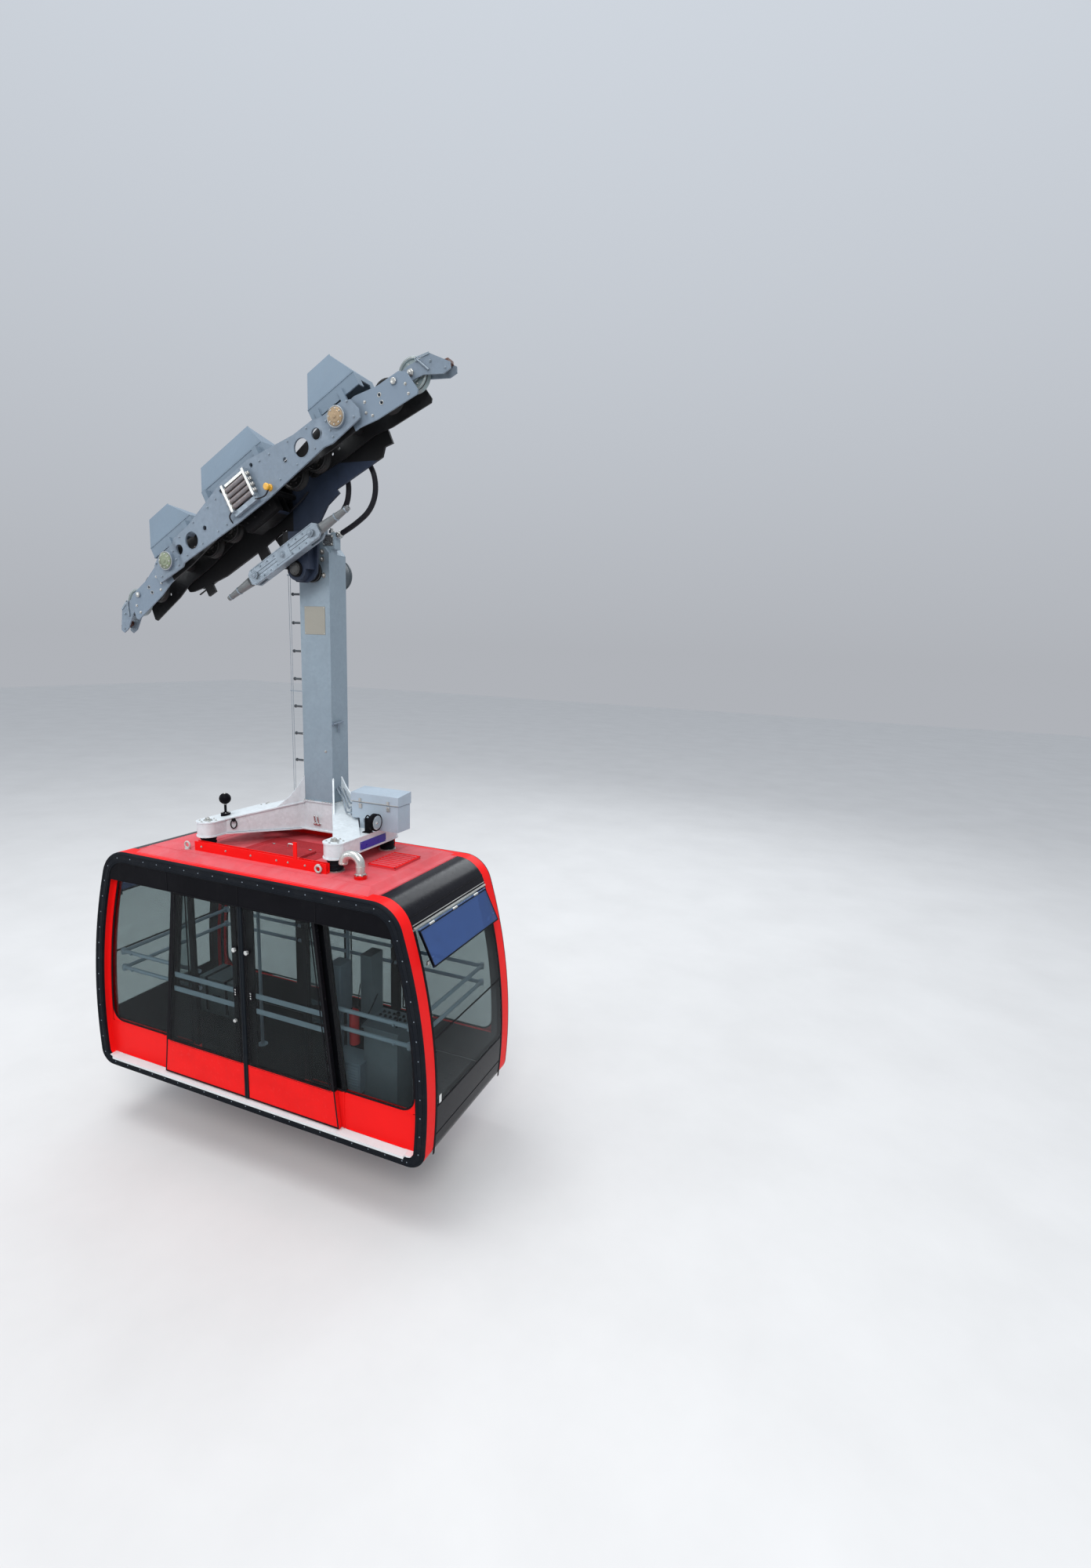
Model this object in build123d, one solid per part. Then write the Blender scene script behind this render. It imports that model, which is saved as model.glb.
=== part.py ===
from build123d import *
import math
import os

# A reversible aerial tramway car: an inclined running carriage on one track rope,
# a vertical hanger pinned below it, and a passenger cabin under a roof frame.
# Millimetres. Origin: the track rope's centreline under the middle of the carriage.
# +X is uphill along the car, +Z is up, the door side faces -Y.

os.makedirs("parts", exist_ok=True)

# ---------------------------------------------------------------- places
SLOPE = 29.3            # rope inclination, degrees, rising to +X
PIVOT_DROP = 530.0      # hanger pin below the track rope, square to the rope
SILL_DROP = 4880.0      # door sill below the hanger pin
CA, SA = math.cos(math.radians(SLOPE)), math.sin(math.radians(SLOPE))
XP, ZP = PIVOT_DROP * SA, -PIVOT_DROP * CA      # hanger pin in the part's frame
ZS = ZP - SILL_DROP                             # door sill level in the part's frame
ROPE_R = 22.5           # track rope radius
HAUL_R = 11.0           # haul rope radius
HAUL_N = -400.0         # haul rope below the track rope


def car(s):
    """carriage frame (along the rope, across, square to the rope) to the part's frame"""
    return Rot(0, -SLOPE, 0) * s


def cab(s):
    """cabin frame (x from the hanger pin, y from the cabin's middle, z from the sill)"""
    return Pos(XP, 0, ZS) * s


def poly(*pts):
    """closed outline from (u, v) corners"""
    return make_face(Polyline(*pts, close=True))


def disc(u, v, r):
    return Pos(u, v) * Circle(r)


def xz(face, ylo, yhi):
    """outline drawn in X and Z, given thickness from ylo to yhi"""
    return extrude(Plane.XZ.offset(-yhi) * face, amount=yhi - ylo)


def xy(face, zlo, zhi):
    """outline drawn in X and Y, given thickness from zlo to zhi"""
    return extrude(Plane.XY.offset(zlo) * face, amount=zhi - zlo)


def yz(face, xlo, xhi):
    """outline drawn in Y and Z, given thickness from xlo to xhi"""
    return extrude(Plane.YZ.offset(xlo) * face, amount=xhi - xlo)


def block(x0, x1, y0, y1, z0, z1):
    return Pos((x0 + x1) / 2, (y0 + y1) / 2, (z0 + z1) / 2) * Box(x1 - x0, y1 - y0, z1 - z0)


def rod_y(x, z, r, y0, y1):
    return xz(disc(x, z, r), y0, y1)


def rod_z(x, y, r, z0, z1):
    return xy(disc(x, y, r), z0, z1)


def rod_x(y, z, r, x0, x1):
    return Pos((x0 + x1) / 2, y, z) * Rot(0, 90, 0) * Cylinder(r, x1 - x0)


def tube_along(points, radii, r, hollow=0.0):
    """round bar or pipe along straight runs joined by tangent arcs"""
    path = FilletPolyline(*points, radius=radii)
    start = Plane(origin=path @ 0, z_dir=path % 0)
    ring = Circle(r) if hollow <= 0 else Circle(r) - Circle(hollow)
    return sweep(start * ring, path=path)


def save(name, shape):
    shape.label = name
    export_step(shape, "parts/" + name + ".step")


def join(items):
    out = items[0]
    for it in items[1:]:
        out = out + it
    return out


# ================================================================ carriage
PLATE = 16.0                      # near side plate
NEAR_MID, NEAR_END = -206.0, -166.0     # outer face of the near plate, middle and joggled ends
FAR_IN, FAR_OUT = 136.0, 160.0    # far side plate
ROCK_S = 1150.0                   # rocker pins, each side of the middle
ROCK_N = 176.0
TRUCK_OFF = 570.0                 # truck pins from the rocker pin
WHEEL_OFF = 140.0                 # wheels from the truck pin
WHEEL_R, GROOVE_R, WHEEL_W = 133.0, 115.0, 70.0
AXLE_N = ROPE_R + GROOVE_R        # wheel centres above the rope
AXLE_R = 25.0
ROCK_T0, ROCK_T1 = 100.0, 114.0   # rocker plates, across
TRUCK_T0, TRUCK_T1 = 45.0, 57.0   # truck plates, across
PIN_R = 45.0                      # hanger pin and rocker pins

# near side plate: outline along and square to the rope, joggled ends
near_outline = poly((-1340, 50), (-1362, 120), (-1325, 225), (-1240, 268), (-720, 285), (-190, 385),
                    (190, 385), (720, 285), (1240, 262), (1325, 225), (1362, 120), (1340, 50),
                    (230, -12), (-150, -6))
# holes: place along the rope, above the rope, radius
plate_holes = [(-925, 160, 48), (-742, 150, 78), (-545, 160, 22), (-205, 326, 18),
               (205, 326, 18), (545, 160, 22), (742, 150, 78), (925, 160, 48)]
for hs, hn, hr in plate_holes:
    near_outline -= disc(hs, hn, hr)
near_outline -= disc(-ROCK_S, ROCK_N, PIN_R + 0.5) + disc(ROCK_S, ROCK_N, PIN_R + 0.5)
brake_window = poly((-150, 90), (-150, 300), (150, 300), (150, 90))
near_outline -= brake_window
strip = poly((-1400, NEAR_END), (-1010, NEAR_END), (-940, NEAR_MID), (940, NEAR_MID), (1010, NEAR_END),
             (1400, NEAR_END), (1400, NEAR_END + PLATE), (1006, NEAR_END + PLATE), (936, NEAR_MID + PLATE),
             (-936, NEAR_MID + PLATE), (-1006, NEAR_END + PLATE), (-1400, NEAR_END + PLATE))
side_plate_near = xz(near_outline, -260, -100) & xy(strip, -200, 500)
CAP_R = 88.0            # covers over the rocker pins
for s in (-ROCK_S, ROCK_S):
    side_plate_near += rod_y(s, ROCK_N, CAP_R, NEAR_END - 26, NEAR_END)
save("side_plate_near", car(side_plate_near))

# far side plate with the arm that comes down to the hanger pin: its left edge is
# upright in the world, its right edge sweeps in from under the beam
def world_to_car(x, z):
    """a point of the pin's upright plane to carriage coordinates"""
    return (x * CA + z * SA, -x * SA + z * CA)


arm_top_l = world_to_car(XP - 165, ZP + 640)
arm_low_l = world_to_car(XP - 165, ZP + 20)
far_outline = poly((-1340, -20), (-1362, 120), (-1325, 225), (-1240, 268), (-720, 285), (-190, 385),
                   (190, 385), (720, 285), (1240, 262), (1325, 225), (1362, 120), (1385, 0),
                   (1375, -110), (1290, -92), (1230, -150), (820, -130), (560, -115), (-257, -133),
                   (-257, -266), (-376, -262), (-377, -133), (-835, -125), (-1034, -95), (-1034, -180),
                   (-1138, -178), (-1138, -75), (-1295, -40))
arm_right = [world_to_car(XP + dx, ZP + dz) for dx, dz in
             ((165, -20), (185, 260), (222, 440), (300, 560), (430, 660), (640, 760))]
arm_foot = [world_to_car(XP + dx, ZP + dz) for dx, dz in ((125, -78), (45, -115), (-70, -108), (-140, -52))]
arm_outline = poly(arm_low_l, arm_top_l, (640, 120), *reversed(arm_right[:-1]), *arm_foot)
arm_outline += disc(0, -PIVOT_DROP, 112)
far_outline += arm_outline
for hs, hn, hr in plate_holes:
    far_outline -= disc(hs, hn, hr)
far_outline -= disc(-ROCK_S, ROCK_N, PIN_R + 0.5) + disc(ROCK_S, ROCK_N, PIN_R + 0.5)
far_outline -= disc(0, -PIVOT_DROP, PIN_R)
side_plate_far = xz(far_outline, FAR_IN, FAR_OUT)

# doubler on the arm, carries the pin and the haul rope bar
DBL0 = 60.0
doubler = poly(world_to_car(XP - 150, ZP), world_to_car(XP - 150, ZP + 330), world_to_car(XP + 120, ZP + 330),
               world_to_car(XP + 150, ZP))
doubler += disc(0, -PIVOT_DROP, 104)
doubler -= disc(0, -PIVOT_DROP, PIN_R)
side_plate_far += xz(doubler, DBL0, FAR_IN)

# hanger pin: head in front of the doubler, shank back to the column's rear wall
COL_Y, COL_HX, COL_HY = 424.0, 176.0, 124.0       # hanger column: middle, half sizes
PIN_END = COL_Y + COL_HY - 6
hanger_pin = rod_y(0, -PIVOT_DROP, PIN_R, DBL0, PIN_END) + rod_y(0, -PIVOT_DROP, 70, DBL0 - 16, DBL0)
hanger_pin += rod_y(0, -PIVOT_DROP, 96, FAR_OUT, COL_Y - COL_HY - 4)      # thrust collar
save("hanger_pin", car(hanger_pin))

# cross tubes between the two side plates, in the free middle
tubes = []
for s, n, r in ((-248, 215, 30), (248, 215, 30), (-248, 60, 24), (248, 60, 24)):
    tubes.append(rod_y(s, n, r, NEAR_MID + PLATE, FAR_IN))
cross_tubes = Compound(children=[car(t) for t in tubes])
save("cross_tubes", cross_tubes)

# rail brake: heavy jaws round the rope in the middle, hung from the far plate
brake = block(-205, 205, -110, FAR_IN, 60, 250) + block(-205, 205, 34, 56, -70, 60) + block(-205, 205, -110, -34, -70, 60)
brake = brake - block(-240, 240, -34, 34, -100, 60)
save("rail_brake", car(brake))

# brake springs in the near plate's window: end plates, four spring columns
springs = block(-150, -128, -262, NEAR_MID, 60, 330) + block(128, 150, -262, NEAR_MID, 60, 330)
springs += block(-150, 150, -240, NEAR_MID, 28, 72)
for n in (112, 164, 216, 268):
    springs += rod_x(-236, n, 21, -128, 128)
springs += block(-90, 90, NEAR_MID, -110, 150, 230)
save("brake_springs", car(springs))

# hoods: base from b0 to b1 along the rope, ridge from r0 to r1
hood_table = [  # b0, b1, r0, r1, ridge height, base height, bracket places
    (-1310, -705, -1290, -1005, 728, 300, (-1050, -760)),
    (-470, 350, -455, 205, 768, 392, (-400, 290)),
    (905, 1440, 985, 1245, 755, 300, (985, 1262)),
]
HOOD_T, HOOD_W = 132.0, 10.0
hoods = []
for b0, b1, r0, r1, top, base_n, bracket_s in hood_table:
    def shell(inset):
        lo = Plane.XY.offset(base_n) * (Pos((b0 + b1) / 2, 0) * Rectangle(b1 - b0 - 2 * inset, 2 * (HOOD_T - inset)))
        wall = Plane.XY.offset(base_n + 0.25 * (top - base_n)) * (Pos((b0 + b1) / 2, 0) * Rectangle(b1 - b0 - 2 * inset, 2 * (HOOD_T - inset)))
        hi = Plane.XY.offset(top - 1.6 * inset) * (Pos((r0 + r1) / 2, 0) * Rectangle(r1 - r0 - inset, 24 - inset))
        return loft([wall, hi], ruled=True) + extrude(lo, amount=0.25 * (top - base_n))
    hood = shell(0) - shell(HOOD_W)
    if base_n < 350:        # the end walls clear the wheels that rise beside them
        hood -= block(b0 - 1, b1 + 1, -62, 62, base_n - 1, base_n + 62)
    # brackets down to the side plates
    for s in bracket_s:
        n_top = 385 if abs(s) < 190 else 385 - (abs(s) - 190) * 100 / 530 if abs(s) < 720 else 285 - (abs(s) - 720) * 20 / 520
        hood += block(s - 25, s + 25, HOOD_T - HOOD_W, FAR_IN, n_top - 60, base_n + 60)
        near = (NEAR_MID if abs(s) < 936 else NEAR_END) + PLATE
        hood += block(s - 25, s + 25, near, -HOOD_T + HOOD_W, n_top - 60, base_n + 60)
    hoods.append(car(hood))
save("hoods", Compound(children=hoods))

# main rockers, outline from the pin outwards; the outer arm is the deeper one
rocker_side = [(-630, 92), (-590, 62), (-200, 24), (120, 20), (300, -22), (560, -50), (705, -66), (726, -40), (700, 132),
               (640, 180), (410, 200), (200, 258), (-200, 258), (-560, 206), (-630, 176)]
TRUCK_PIN_R = 28.0


def rocker(sc):
    out = math.copysign(1, sc)
    face = poly(*[(sc + out * u, v) for u, v in rocker_side])
    face -= disc(sc - TRUCK_OFF, AXLE_N, TRUCK_PIN_R + 0.4) + disc(sc + TRUCK_OFF, AXLE_N, TRUCK_PIN_R + 0.4)
    for u, v in ((-330, 130), (-250, 130), (395, 66), (405, 128)):
        face -= disc(sc + out * u, v, 14)
    body = xz(face, ROCK_T0, ROCK_T1) + xz(face, -ROCK_T1, -ROCK_T0)
    body += rod_y(sc, ROCK_N, 70, -ROCK_T0, ROCK_T0)
    body += rod_y(sc, ROCK_N, PIN_R, NEAR_END + 4, -ROCK_T1) + rod_y(sc, ROCK_N, PIN_R, ROCK_T1, FAR_OUT + 12)
    return body


save("rocker_lower", car(rocker(-ROCK_S)))
save("rocker_upper", car(rocker(ROCK_S)))

# wheel trucks and wheels, from the lower end to the upper end
truck_s = [-ROCK_S - TRUCK_OFF, -ROCK_S + TRUCK_OFF, ROCK_S - TRUCK_OFF, ROCK_S + TRUCK_OFF]
for i, sc in enumerate(truck_s):
    outer = i in (0, 3)
    side = -1 if i == 0 else 1
    face = poly((sc - 185, 95), (sc - 150, 78), (sc + 150, 78), (sc + 185, 95), (sc + 185, 180), (sc + 150, 198),
                (sc - 150, 198), (sc - 185, 180))
    if outer:       # horn that leads on to the rope
        horn = [(150, 78), (230, 60), (385, -36), (455, -40), (476, 4), (350, 168), (185, 190), (150, 198)]
        face += poly(*[(sc + side * u, v) for u, v in horn])
    truck = xz(face, TRUCK_T0, TRUCK_T1) + xz(face, -TRUCK_T1, -TRUCK_T0)
    for w in (-WHEEL_OFF, WHEEL_OFF):
        truck += rod_y(sc + w, AXLE_N, AXLE_R, -TRUCK_T1 - 10, TRUCK_T1 + 10)
    truck += rod_y(sc, AXLE_N, TRUCK_PIN_R, -ROCK_T1 - 8, -TRUCK_T1) + rod_y(sc, AXLE_N, TRUCK_PIN_R, TRUCK_T1, ROCK_T1 + 8)
    if outer:       # cross bolt through the horn, over the rope
        truck += rod_y(sc + side * 330, 110, 14, -TRUCK_T0, TRUCK_T0)
    save("truck_%d" % (i + 1), car(truck))

wheel_half = poly((AXLE_R + 0.5, -35), (AXLE_R + 0.5, 35), (52, 35), (60, 24), (104, 24), (112, 35), (WHEEL_R, 35),
                  (WHEEL_R, 29), (GROOVE_R + 6, 12), (GROOVE_R, 6), (GROOVE_R, -6), (GROOVE_R + 6, -12),
                  (WHEEL_R, -29), (WHEEL_R, -35), (112, -35), (104, -24), (60, -24), (52, -35))
wheel_proto = Rot(90, 0, 0) * revolve(Plane.XZ * wheel_half, Axis.Z)
wheel_s = [t + w for t in truck_s for w in (-WHEEL_OFF, WHEEL_OFF)]
for i, s in enumerate(wheel_s):
    save("wheel_%d" % (i + 1), car(Pos(s, 0, AXLE_N) * wheel_proto))

# haul rope bar and its conical sockets
BAR_HALF, BAR_T = 455.0, 40.0
bar_face = poly((-BAR_HALF, HAUL_N - 45), (-BAR_HALF + 40, HAUL_N - 75), (BAR_HALF - 40, HAUL_N - 75),
                (BAR_HALF, HAUL_N - 45), (BAR_HALF, HAUL_N + 45), (BAR_HALF - 40, HAUL_N + 75),
                (-BAR_HALF + 40, HAUL_N + 75), (-BAR_HALF, HAUL_N + 45))
bar = xz(bar_face, -BAR_T, BAR_T)
bar -= block(-BAR_HALF - 10, -BAR_HALF + 160, -18, 18, HAUL_N - 100, HAUL_N + 100)
bar -= block(BAR_HALF - 160, BAR_HALF + 10, -18, 18, HAUL_N - 100, HAUL_N + 100)
bar += xz(poly((-110, HAUL_N - 60), (110, HAUL_N - 60), (110, HAUL_N + 60), (-110, HAUL_N + 60)), BAR_T, DBL0) - block(-90, 90, BAR_T, DBL0, HAUL_N - 100, HAUL_N - 48)
SOCK_PIN = 370.0
for s in (-SOCK_PIN, SOCK_PIN):
    bar -= rod_y(s, HAUL_N, 22.5, -BAR_T - 1, BAR_T + 1)
save("haul_rope_bar", car(bar))

sockets = []
SOCK_TIP = 800.0
for side in (-1, 1):
    eye = xz(poly((side * 325, HAUL_N - 40), (side * 325, HAUL_N + 40), (side * 480, HAUL_N + 40), (side * 480, HAUL_N - 40)), -17, 17)
    cone = Pos(side * (480 + SOCK_TIP) / 2, 0, HAUL_N) * Rot(0, side * 90, 0) * Cone(44, 22, SOCK_TIP - 480)
    pin = rod_y(side * SOCK_PIN, HAUL_N, 22, -BAR_T - 14, BAR_T + 14)
    sock = eye + cone + pin
    sock -= rod_x(0, HAUL_N, HAUL_R, min(side * 640, side * 810), max(side * 640, side * 810))
    sockets.append(car(sock))
save("rope_sockets", Compound(children=sockets))

# hydraulic hoses: from glands under the beam, out uphill and back to the hanger head
HOSE_R = 24.0
# routes in the cabin frame: x, y, z of each corner, from the far plate to the hanger head
hose_routes = {
    "hose_1": [(448, 215, 5733), (466, 222, 5657), (462, 235, 5572), (424, 260, 5477), (336, 290, 5394),
               (212, 320, 5350), (110, 350, 5321)],
    "hose_2": [(653, 215, 5845), (727, 222, 5747), (752, 235, 5627), (722, 260, 5502), (632, 290, 5394),
               (490, 320, 5318), (362, 350, 5266), (254, 370, 5225)],
}


def arc_radii(pts):
    """0.45 of the shorter run over the tangent of half the turn, at each corner"""
    out = []
    for a, b, c in zip(pts, pts[1:], pts[2:]):
        u, v = Vector(*b) - Vector(*a), Vector(*c) - Vector(*b)
        turn = math.radians(u.get_angle(v))
        out.append(0.45 * min(u.length, v.length) / math.tan(turn / 2))
    return out


for name, route in hose_routes.items():
    radii = arc_radii(route)
    tube = tube_along(route, radii, HOSE_R)
    print(name, "radii", [round(r) for r in radii], "length", round(tube.volume / (math.pi * HOSE_R ** 2)), "end", [round(c) for c in route[-1]])
    save(name, cab(tube))
# glands: each hose leaves a sleeve on the far plate's back, and enters one on the hanger head
def gland(route, last, length):
    a, b = (Vector(*route[-1]), Vector(*route[-2])) if last else (Vector(*route[0]), Vector(*route[1]))
    return Plane(origin=a, z_dir=(a - b).normalized()) * extrude(Circle(HOSE_R + 7), amount=length)


for name, route in hose_routes.items():
    x, y, z = route[0]
    side_plate_far += Rot(0, SLOPE, 0) * Pos(XP, 0, ZS) * (gland(route, False, 70) + block(x - 95, x + 5, FAR_OUT - 4, y + 10, z + 12, z + 62))
save("side_plate_far", car(side_plate_far))

# ================================================================ hanger
HEAD_TOP = SILL_DROP + 230.0
HUB_Z0, HUB_Z1 = 2342.0, 2651.0
y0, y1 = COL_Y - COL_HY, COL_Y + COL_HY
col_face = poly((-COL_HX, HUB_Z1), (COL_HX, HUB_Z1), (COL_HX, HEAD_TOP - 62), (COL_HX - 52, HEAD_TOP), (-50, HEAD_TOP),
                (-COL_HX, HEAD_TOP - 96))
column = xz(col_face, y0, y1)
column -= rod_y(0, SILL_DROP, PIN_R + 0.5, y0 - 1, y1 + 1)
# drum behind the head, over the pin's end
cap = rod_y(0, SILL_DROP, 150, y1, y1 + 152) - rod_y(0, SILL_DROP, PIN_R + 8, y1 - 1, y1 + 8)
cap = chamfer(cap.edges().filter_by(GeomType.CIRCLE).sort_by(Axis.Y)[-1], 16)
save("bearing_cap", cab(cap))
# hose blocks on top of the head
column += block(60, COL_HX, 335, 425, HEAD_TOP - 64, 5224) + block(COL_HX - 1, 214, 335, 425, HEAD_TOP - 20, 5240)
column += block(0, 82, 322, 410, HEAD_TOP - 4, 5336)
for route in hose_routes.values():
    column += gland(route, True, 60)
# climbing pegs on the downhill face
for k in range(7):
    z = 4673 - k * 271
    column += rod_x(y0 + 24, z, 11, -COL_HX - 100, -COL_HX + 4) + rod_x(y0 + 24, z, 16, -COL_HX - 112, -COL_HX - 100)
save("hanger_column", cab(column))

# ================================================================ roof frame
CX, CY = 745.0, 400.0                   # buffer corners: +-x, +-y
BUF_R = 98.0
BUF_Z0, BUF_Z1 = 2357.0, 2505.0
FLANGE, FLANGE_T = 18.0, 12.0           # the beams' flange plates stand proud of their webs


def beam(p, q, w, zp, zq):
    """box beam between plan points p and q; zp and zq are its low and high levels at each end"""
    (px, py), (qx, qy) = p, q
    length = math.hypot(qx - px, qy - py)
    ang = math.degrees(math.atan2(qy - py, qx - px))
    side = poly((0, zp[0]), (length, zq[0]), (length, zq[1]), (0, zp[1]))
    return Pos(px, py, 0) * Rot(0, 0, ang) * xz(side, -w / 2, w / 2)


def flanged(p, q, w, zp, zq):
    """box beam with a wider plate along its top and its bottom"""
    out = beam(p, q, w, zp, zq)
    out += beam(p, q, w + 2 * FLANGE, (zp[1] - FLANGE_T, zp[1]), (zq[1] - FLANGE_T, zq[1]))
    return out + beam(p, q, w + 2 * FLANGE, (zp[0], zp[0] + FLANGE_T), (zq[0], zq[0] + FLANGE_T))


GUS_X, GUS_Y = 0.626, -0.780            # plan direction of the front webs
frame = block(-COL_HX - 7, COL_HX + 7, y0, y1, HUB_Z0, HUB_Z1)
for z in (HUB_Z0, HUB_Z1 - FLANGE_T):
    frame += block(-COL_HX - 20, COL_HX + 20, y0 - FLANGE, y1 + FLANGE, z, z + FLANGE_T)
for sx in (-1, 1):
    # front arm, its inner web from the hub's corner to the buffer's centre, and the far arm
    frame += flanged((sx * 198, 441), (sx * 752, -242), 200, (HUB_Z0, HUB_Z1), (BUF_Z0, BUF_Z1))
    frame += flanged((sx * 150, 440), (sx * CX, 410), 170, (HUB_Z0, HUB_Z1), (BUF_Z0, BUF_Z1))
    # end beam with rounded ends over the four buffers
    for z0, z1, extra in ((BUF_Z0, BUF_Z1, 0), (BUF_Z0, BUF_Z0 + FLANGE_T, 8), (BUF_Z1 - FLANGE_T, BUF_Z1, 8)):
        frame += block(sx * CX - BUF_R - extra, sx * CX + BUF_R + extra, -CY, CY, z0, z1)
        for cy in (-CY, CY):
            frame += rod_z(sx * CX, cy, BUF_R + extra, z0, z1)
    # gussets: in the front web's plane, and over the far arm
    curve = [(0, HUB_Z1 - 20), (300, HUB_Z1 - 75), (262, HUB_Z1 - 50), (150, HUB_Z1 + 40), (60, HUB_Z1 + 150), (0, HUB_Z1 + 250)]
    turn = math.degrees(math.atan2(GUS_Y, sx * GUS_X))
    frame += Pos(sx * COL_HX, y0 + 6, 0) * Rot(0, 0, turn) * xz(poly(*curve), -8, 8)
    frame += Pos(sx * COL_HX, COL_Y + 14, 0) * Rot(0, 0, 90 - sx * 90) * xz(poly(*curve), -8, 8)
frame -= block(-COL_HX, COL_HX, y0, y1, HUB_Z1, HUB_Z1 + 500)
save("hub_frame", cab(frame))

CROWN = 2236.0          # level of the roof's raised middle
mounts = [cab(rod_z(sx * CX, cy, 66, CROWN, BUF_Z0) - frame) for sx in (-1, 1) for cy in (-CY, CY)]
save("rubber_mounts", Compound(children=mounts))

# electrical box on the uphill beam, stepped over the front arm, with a deep hinged lid
EB = (555.0, 1069.0, 100.0, 305.0, 2505.0, 2752.0)
EB_STEP = (642.0, 2600.0)               # the body left of this x starts at this level
LID_GAP = 5.0
LID_PIN = (EB[3] + 14, EB[5] + 16)      # hinge line: y, z
ebox = block(*EB) - block(EB_STEP[0] + 8, EB[1] - 8, EB[2] + 8, EB[3] - 8, EB[4] + 8, EB[5] + 1)
ebox -= block(EB[0] - 1, EB_STEP[0], EB[2] - 1, EB[3] + 1, EB[4] - 1, EB_STEP[1])
ebox -= block(EB[0] + 8, EB_STEP[0] + 9, EB[2] + 8, EB[3] - 8, EB_STEP[1] + 8, EB[5] + 1)
LID_F, LID_B = 2842.0, 2868.0           # lid top, front and back
lid_side = poly((EB[2] - 8, EB[5] + LID_GAP), (EB[3] + 6, EB[5] + LID_GAP), (EB[3] + 6, LID_B), (EB[2] - 8, LID_F))
lid_void = poly((EB[2] + 4, EB[5]), (EB[3] - 6, EB[5]), (EB[3] - 6, LID_B - 12), (EB[2] + 4, LID_F - 12))
lid = yz(lid_side, EB[0] - 8, EB[1] + 8) - yz(lid_void, EB[0] + 4, EB[1] - 4)
for x in (EB[0] + 90, EB[1] - 90):
    lid -= block(x - 62, x + 62, EB[3] - 8, EB[3] + 10, EB[5], EB[5] + 50)
    lid += block(x - 62, x + 62, EB[3] - 20, EB[3] - 8, EB[5] + LID_GAP, EB[5] + 62)
    lid += block(x - 62, x + 62, EB[3] - 20, EB[3] - 4, EB[5] + 50, EB[5] + 62)
    lid += block(x - 36, x + 36, EB[3] - 14, LID_PIN[0], LID_PIN[1] - 7, LID_PIN[1] + 7) + rod_x(LID_PIN[0], LID_PIN[1], 8, x - 54, x + 54)
    for xa in (x - 54, x + 42):
        lug = block(xa, xa + 12, EB[3] - 2, LID_PIN[0] + 12, EB[5] - 50, LID_PIN[1] + 12)
        ebox += lug - block(xa - 1, xa + 13, EB[3] - 8, EB[3], EB[5] - 1, EB[5] + 60)
        ebox -= rod_x(LID_PIN[0], LID_PIN[1], 8.5, xa - 1, xa + 13)
save("electrical_box", cab(ebox))
save("box_lid", cab(lid))

# headlamp outside the uphill beam, and a ball on a post over the downhill beam
LAMP = (-10.0, 2612.0)                  # y, z
lamp = rod_x(LAMP[0], LAMP[1], 80, 872, 904) + rod_x(LAMP[0], LAMP[1], 68, 904, 916) + rod_x(LAMP[0], LAMP[1], 56, 846, 872)
lamp += block(790, 850, -26, 6, BUF_Z1, 2640) + block(770, 850, -40, 20, BUF_Z1, BUF_Z1 + 8)
save("roof_lamp", cab(lamp))
ball = Pos(-745, -180, 2680) * Sphere(55) + rod_z(-745, -180, 12, BUF_Z1, 2660) + rod_z(-745, -180, 45, BUF_Z1, BUF_Z1 + 32)
save("ball_post", cab(ball - frame))

# ================================================================ cabin shell
HW = 797.0              # outer side face of the hoops
IN_Y = 650.0            # hoops run from here out to HW
END_R, END_X, END_Z = 5000.0, 1942.0, 440.0     # end profile: one large arc, widest at END_Z
BOT, TOP = -124.0, 2190.0
R_TOP, R_BOT = 300.0, 165.0


def x_end(z, off=0.0):
    """half length of the cabin at height z"""
    r = END_R - off
    return END_X - END_R + math.sqrt(r * r - (z - END_Z) ** 2)


def profile(off):
    """cabin side profile, inset by off"""
    lo, hi = BOT + off, TOP - off
    right = ThreePointArc((x_end(lo, off), lo), (END_X - off, END_Z), (x_end(hi, off), hi))
    left = ThreePointArc((-x_end(hi, off), hi), (-END_X + off, END_Z), (-x_end(lo, off), lo))
    face = make_face([Line((-x_end(lo, off), lo), (x_end(lo, off), lo)), right,
                      Line((x_end(hi, off), hi), (-x_end(hi, off), hi)), left])
    top = face.vertices().filter_by_position(Axis.Y, hi - 1, hi + 1)
    face = fillet(top, max(R_TOP - off, 20))
    bot = face.vertices().filter_by_position(Axis.Y, lo - 1, lo + 1)
    return fillet(bot, max(R_BOT - off, 20))


HOOP = 100.0            # hoop depth, square to the outline
RIM_Y = HW - 12.0       # the rubber rims cover the hoops' side faces from here out
ring = profile(0) - profile(HOOP)
save("side_hoops", Compound(children=[cab(xz(ring, *sorted((side * IN_Y, side * RIM_Y)))) for side in (-1, 1)]))

rims = []
for side in (-1, 1):
    rim = xz(ring, *sorted((side * RIM_Y, side * (HW + 14))))
    outer = [e for e in rim.edges() if abs(e.center().Y - side * (HW + 14)) < 0.5]
    far = [e for e in outer if abs(e.center().X) > x_end(e.center().Z, 50) or e.center().Z > TOP - 40 or e.center().Z < BOT + 40]
    rims.append(cab(fillet(far, 20)))
save("edge_rims", Compound(children=rims))

# skins between the hoops, 22 thick: roof, end headers, windows, aprons, and the floor
SKIN = 22.0
band = xz(profile(0) - profile(SKIN), -IN_Y, IN_Y)
Z_HEAD, Z_MID, Z_WLOW = 1948.0, 1000.0, 393.0
ROOF_X = 1395.0
roof = block(-ROOF_X, ROOF_X, -IN_Y, IN_Y, TOP - 40, TOP)
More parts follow.
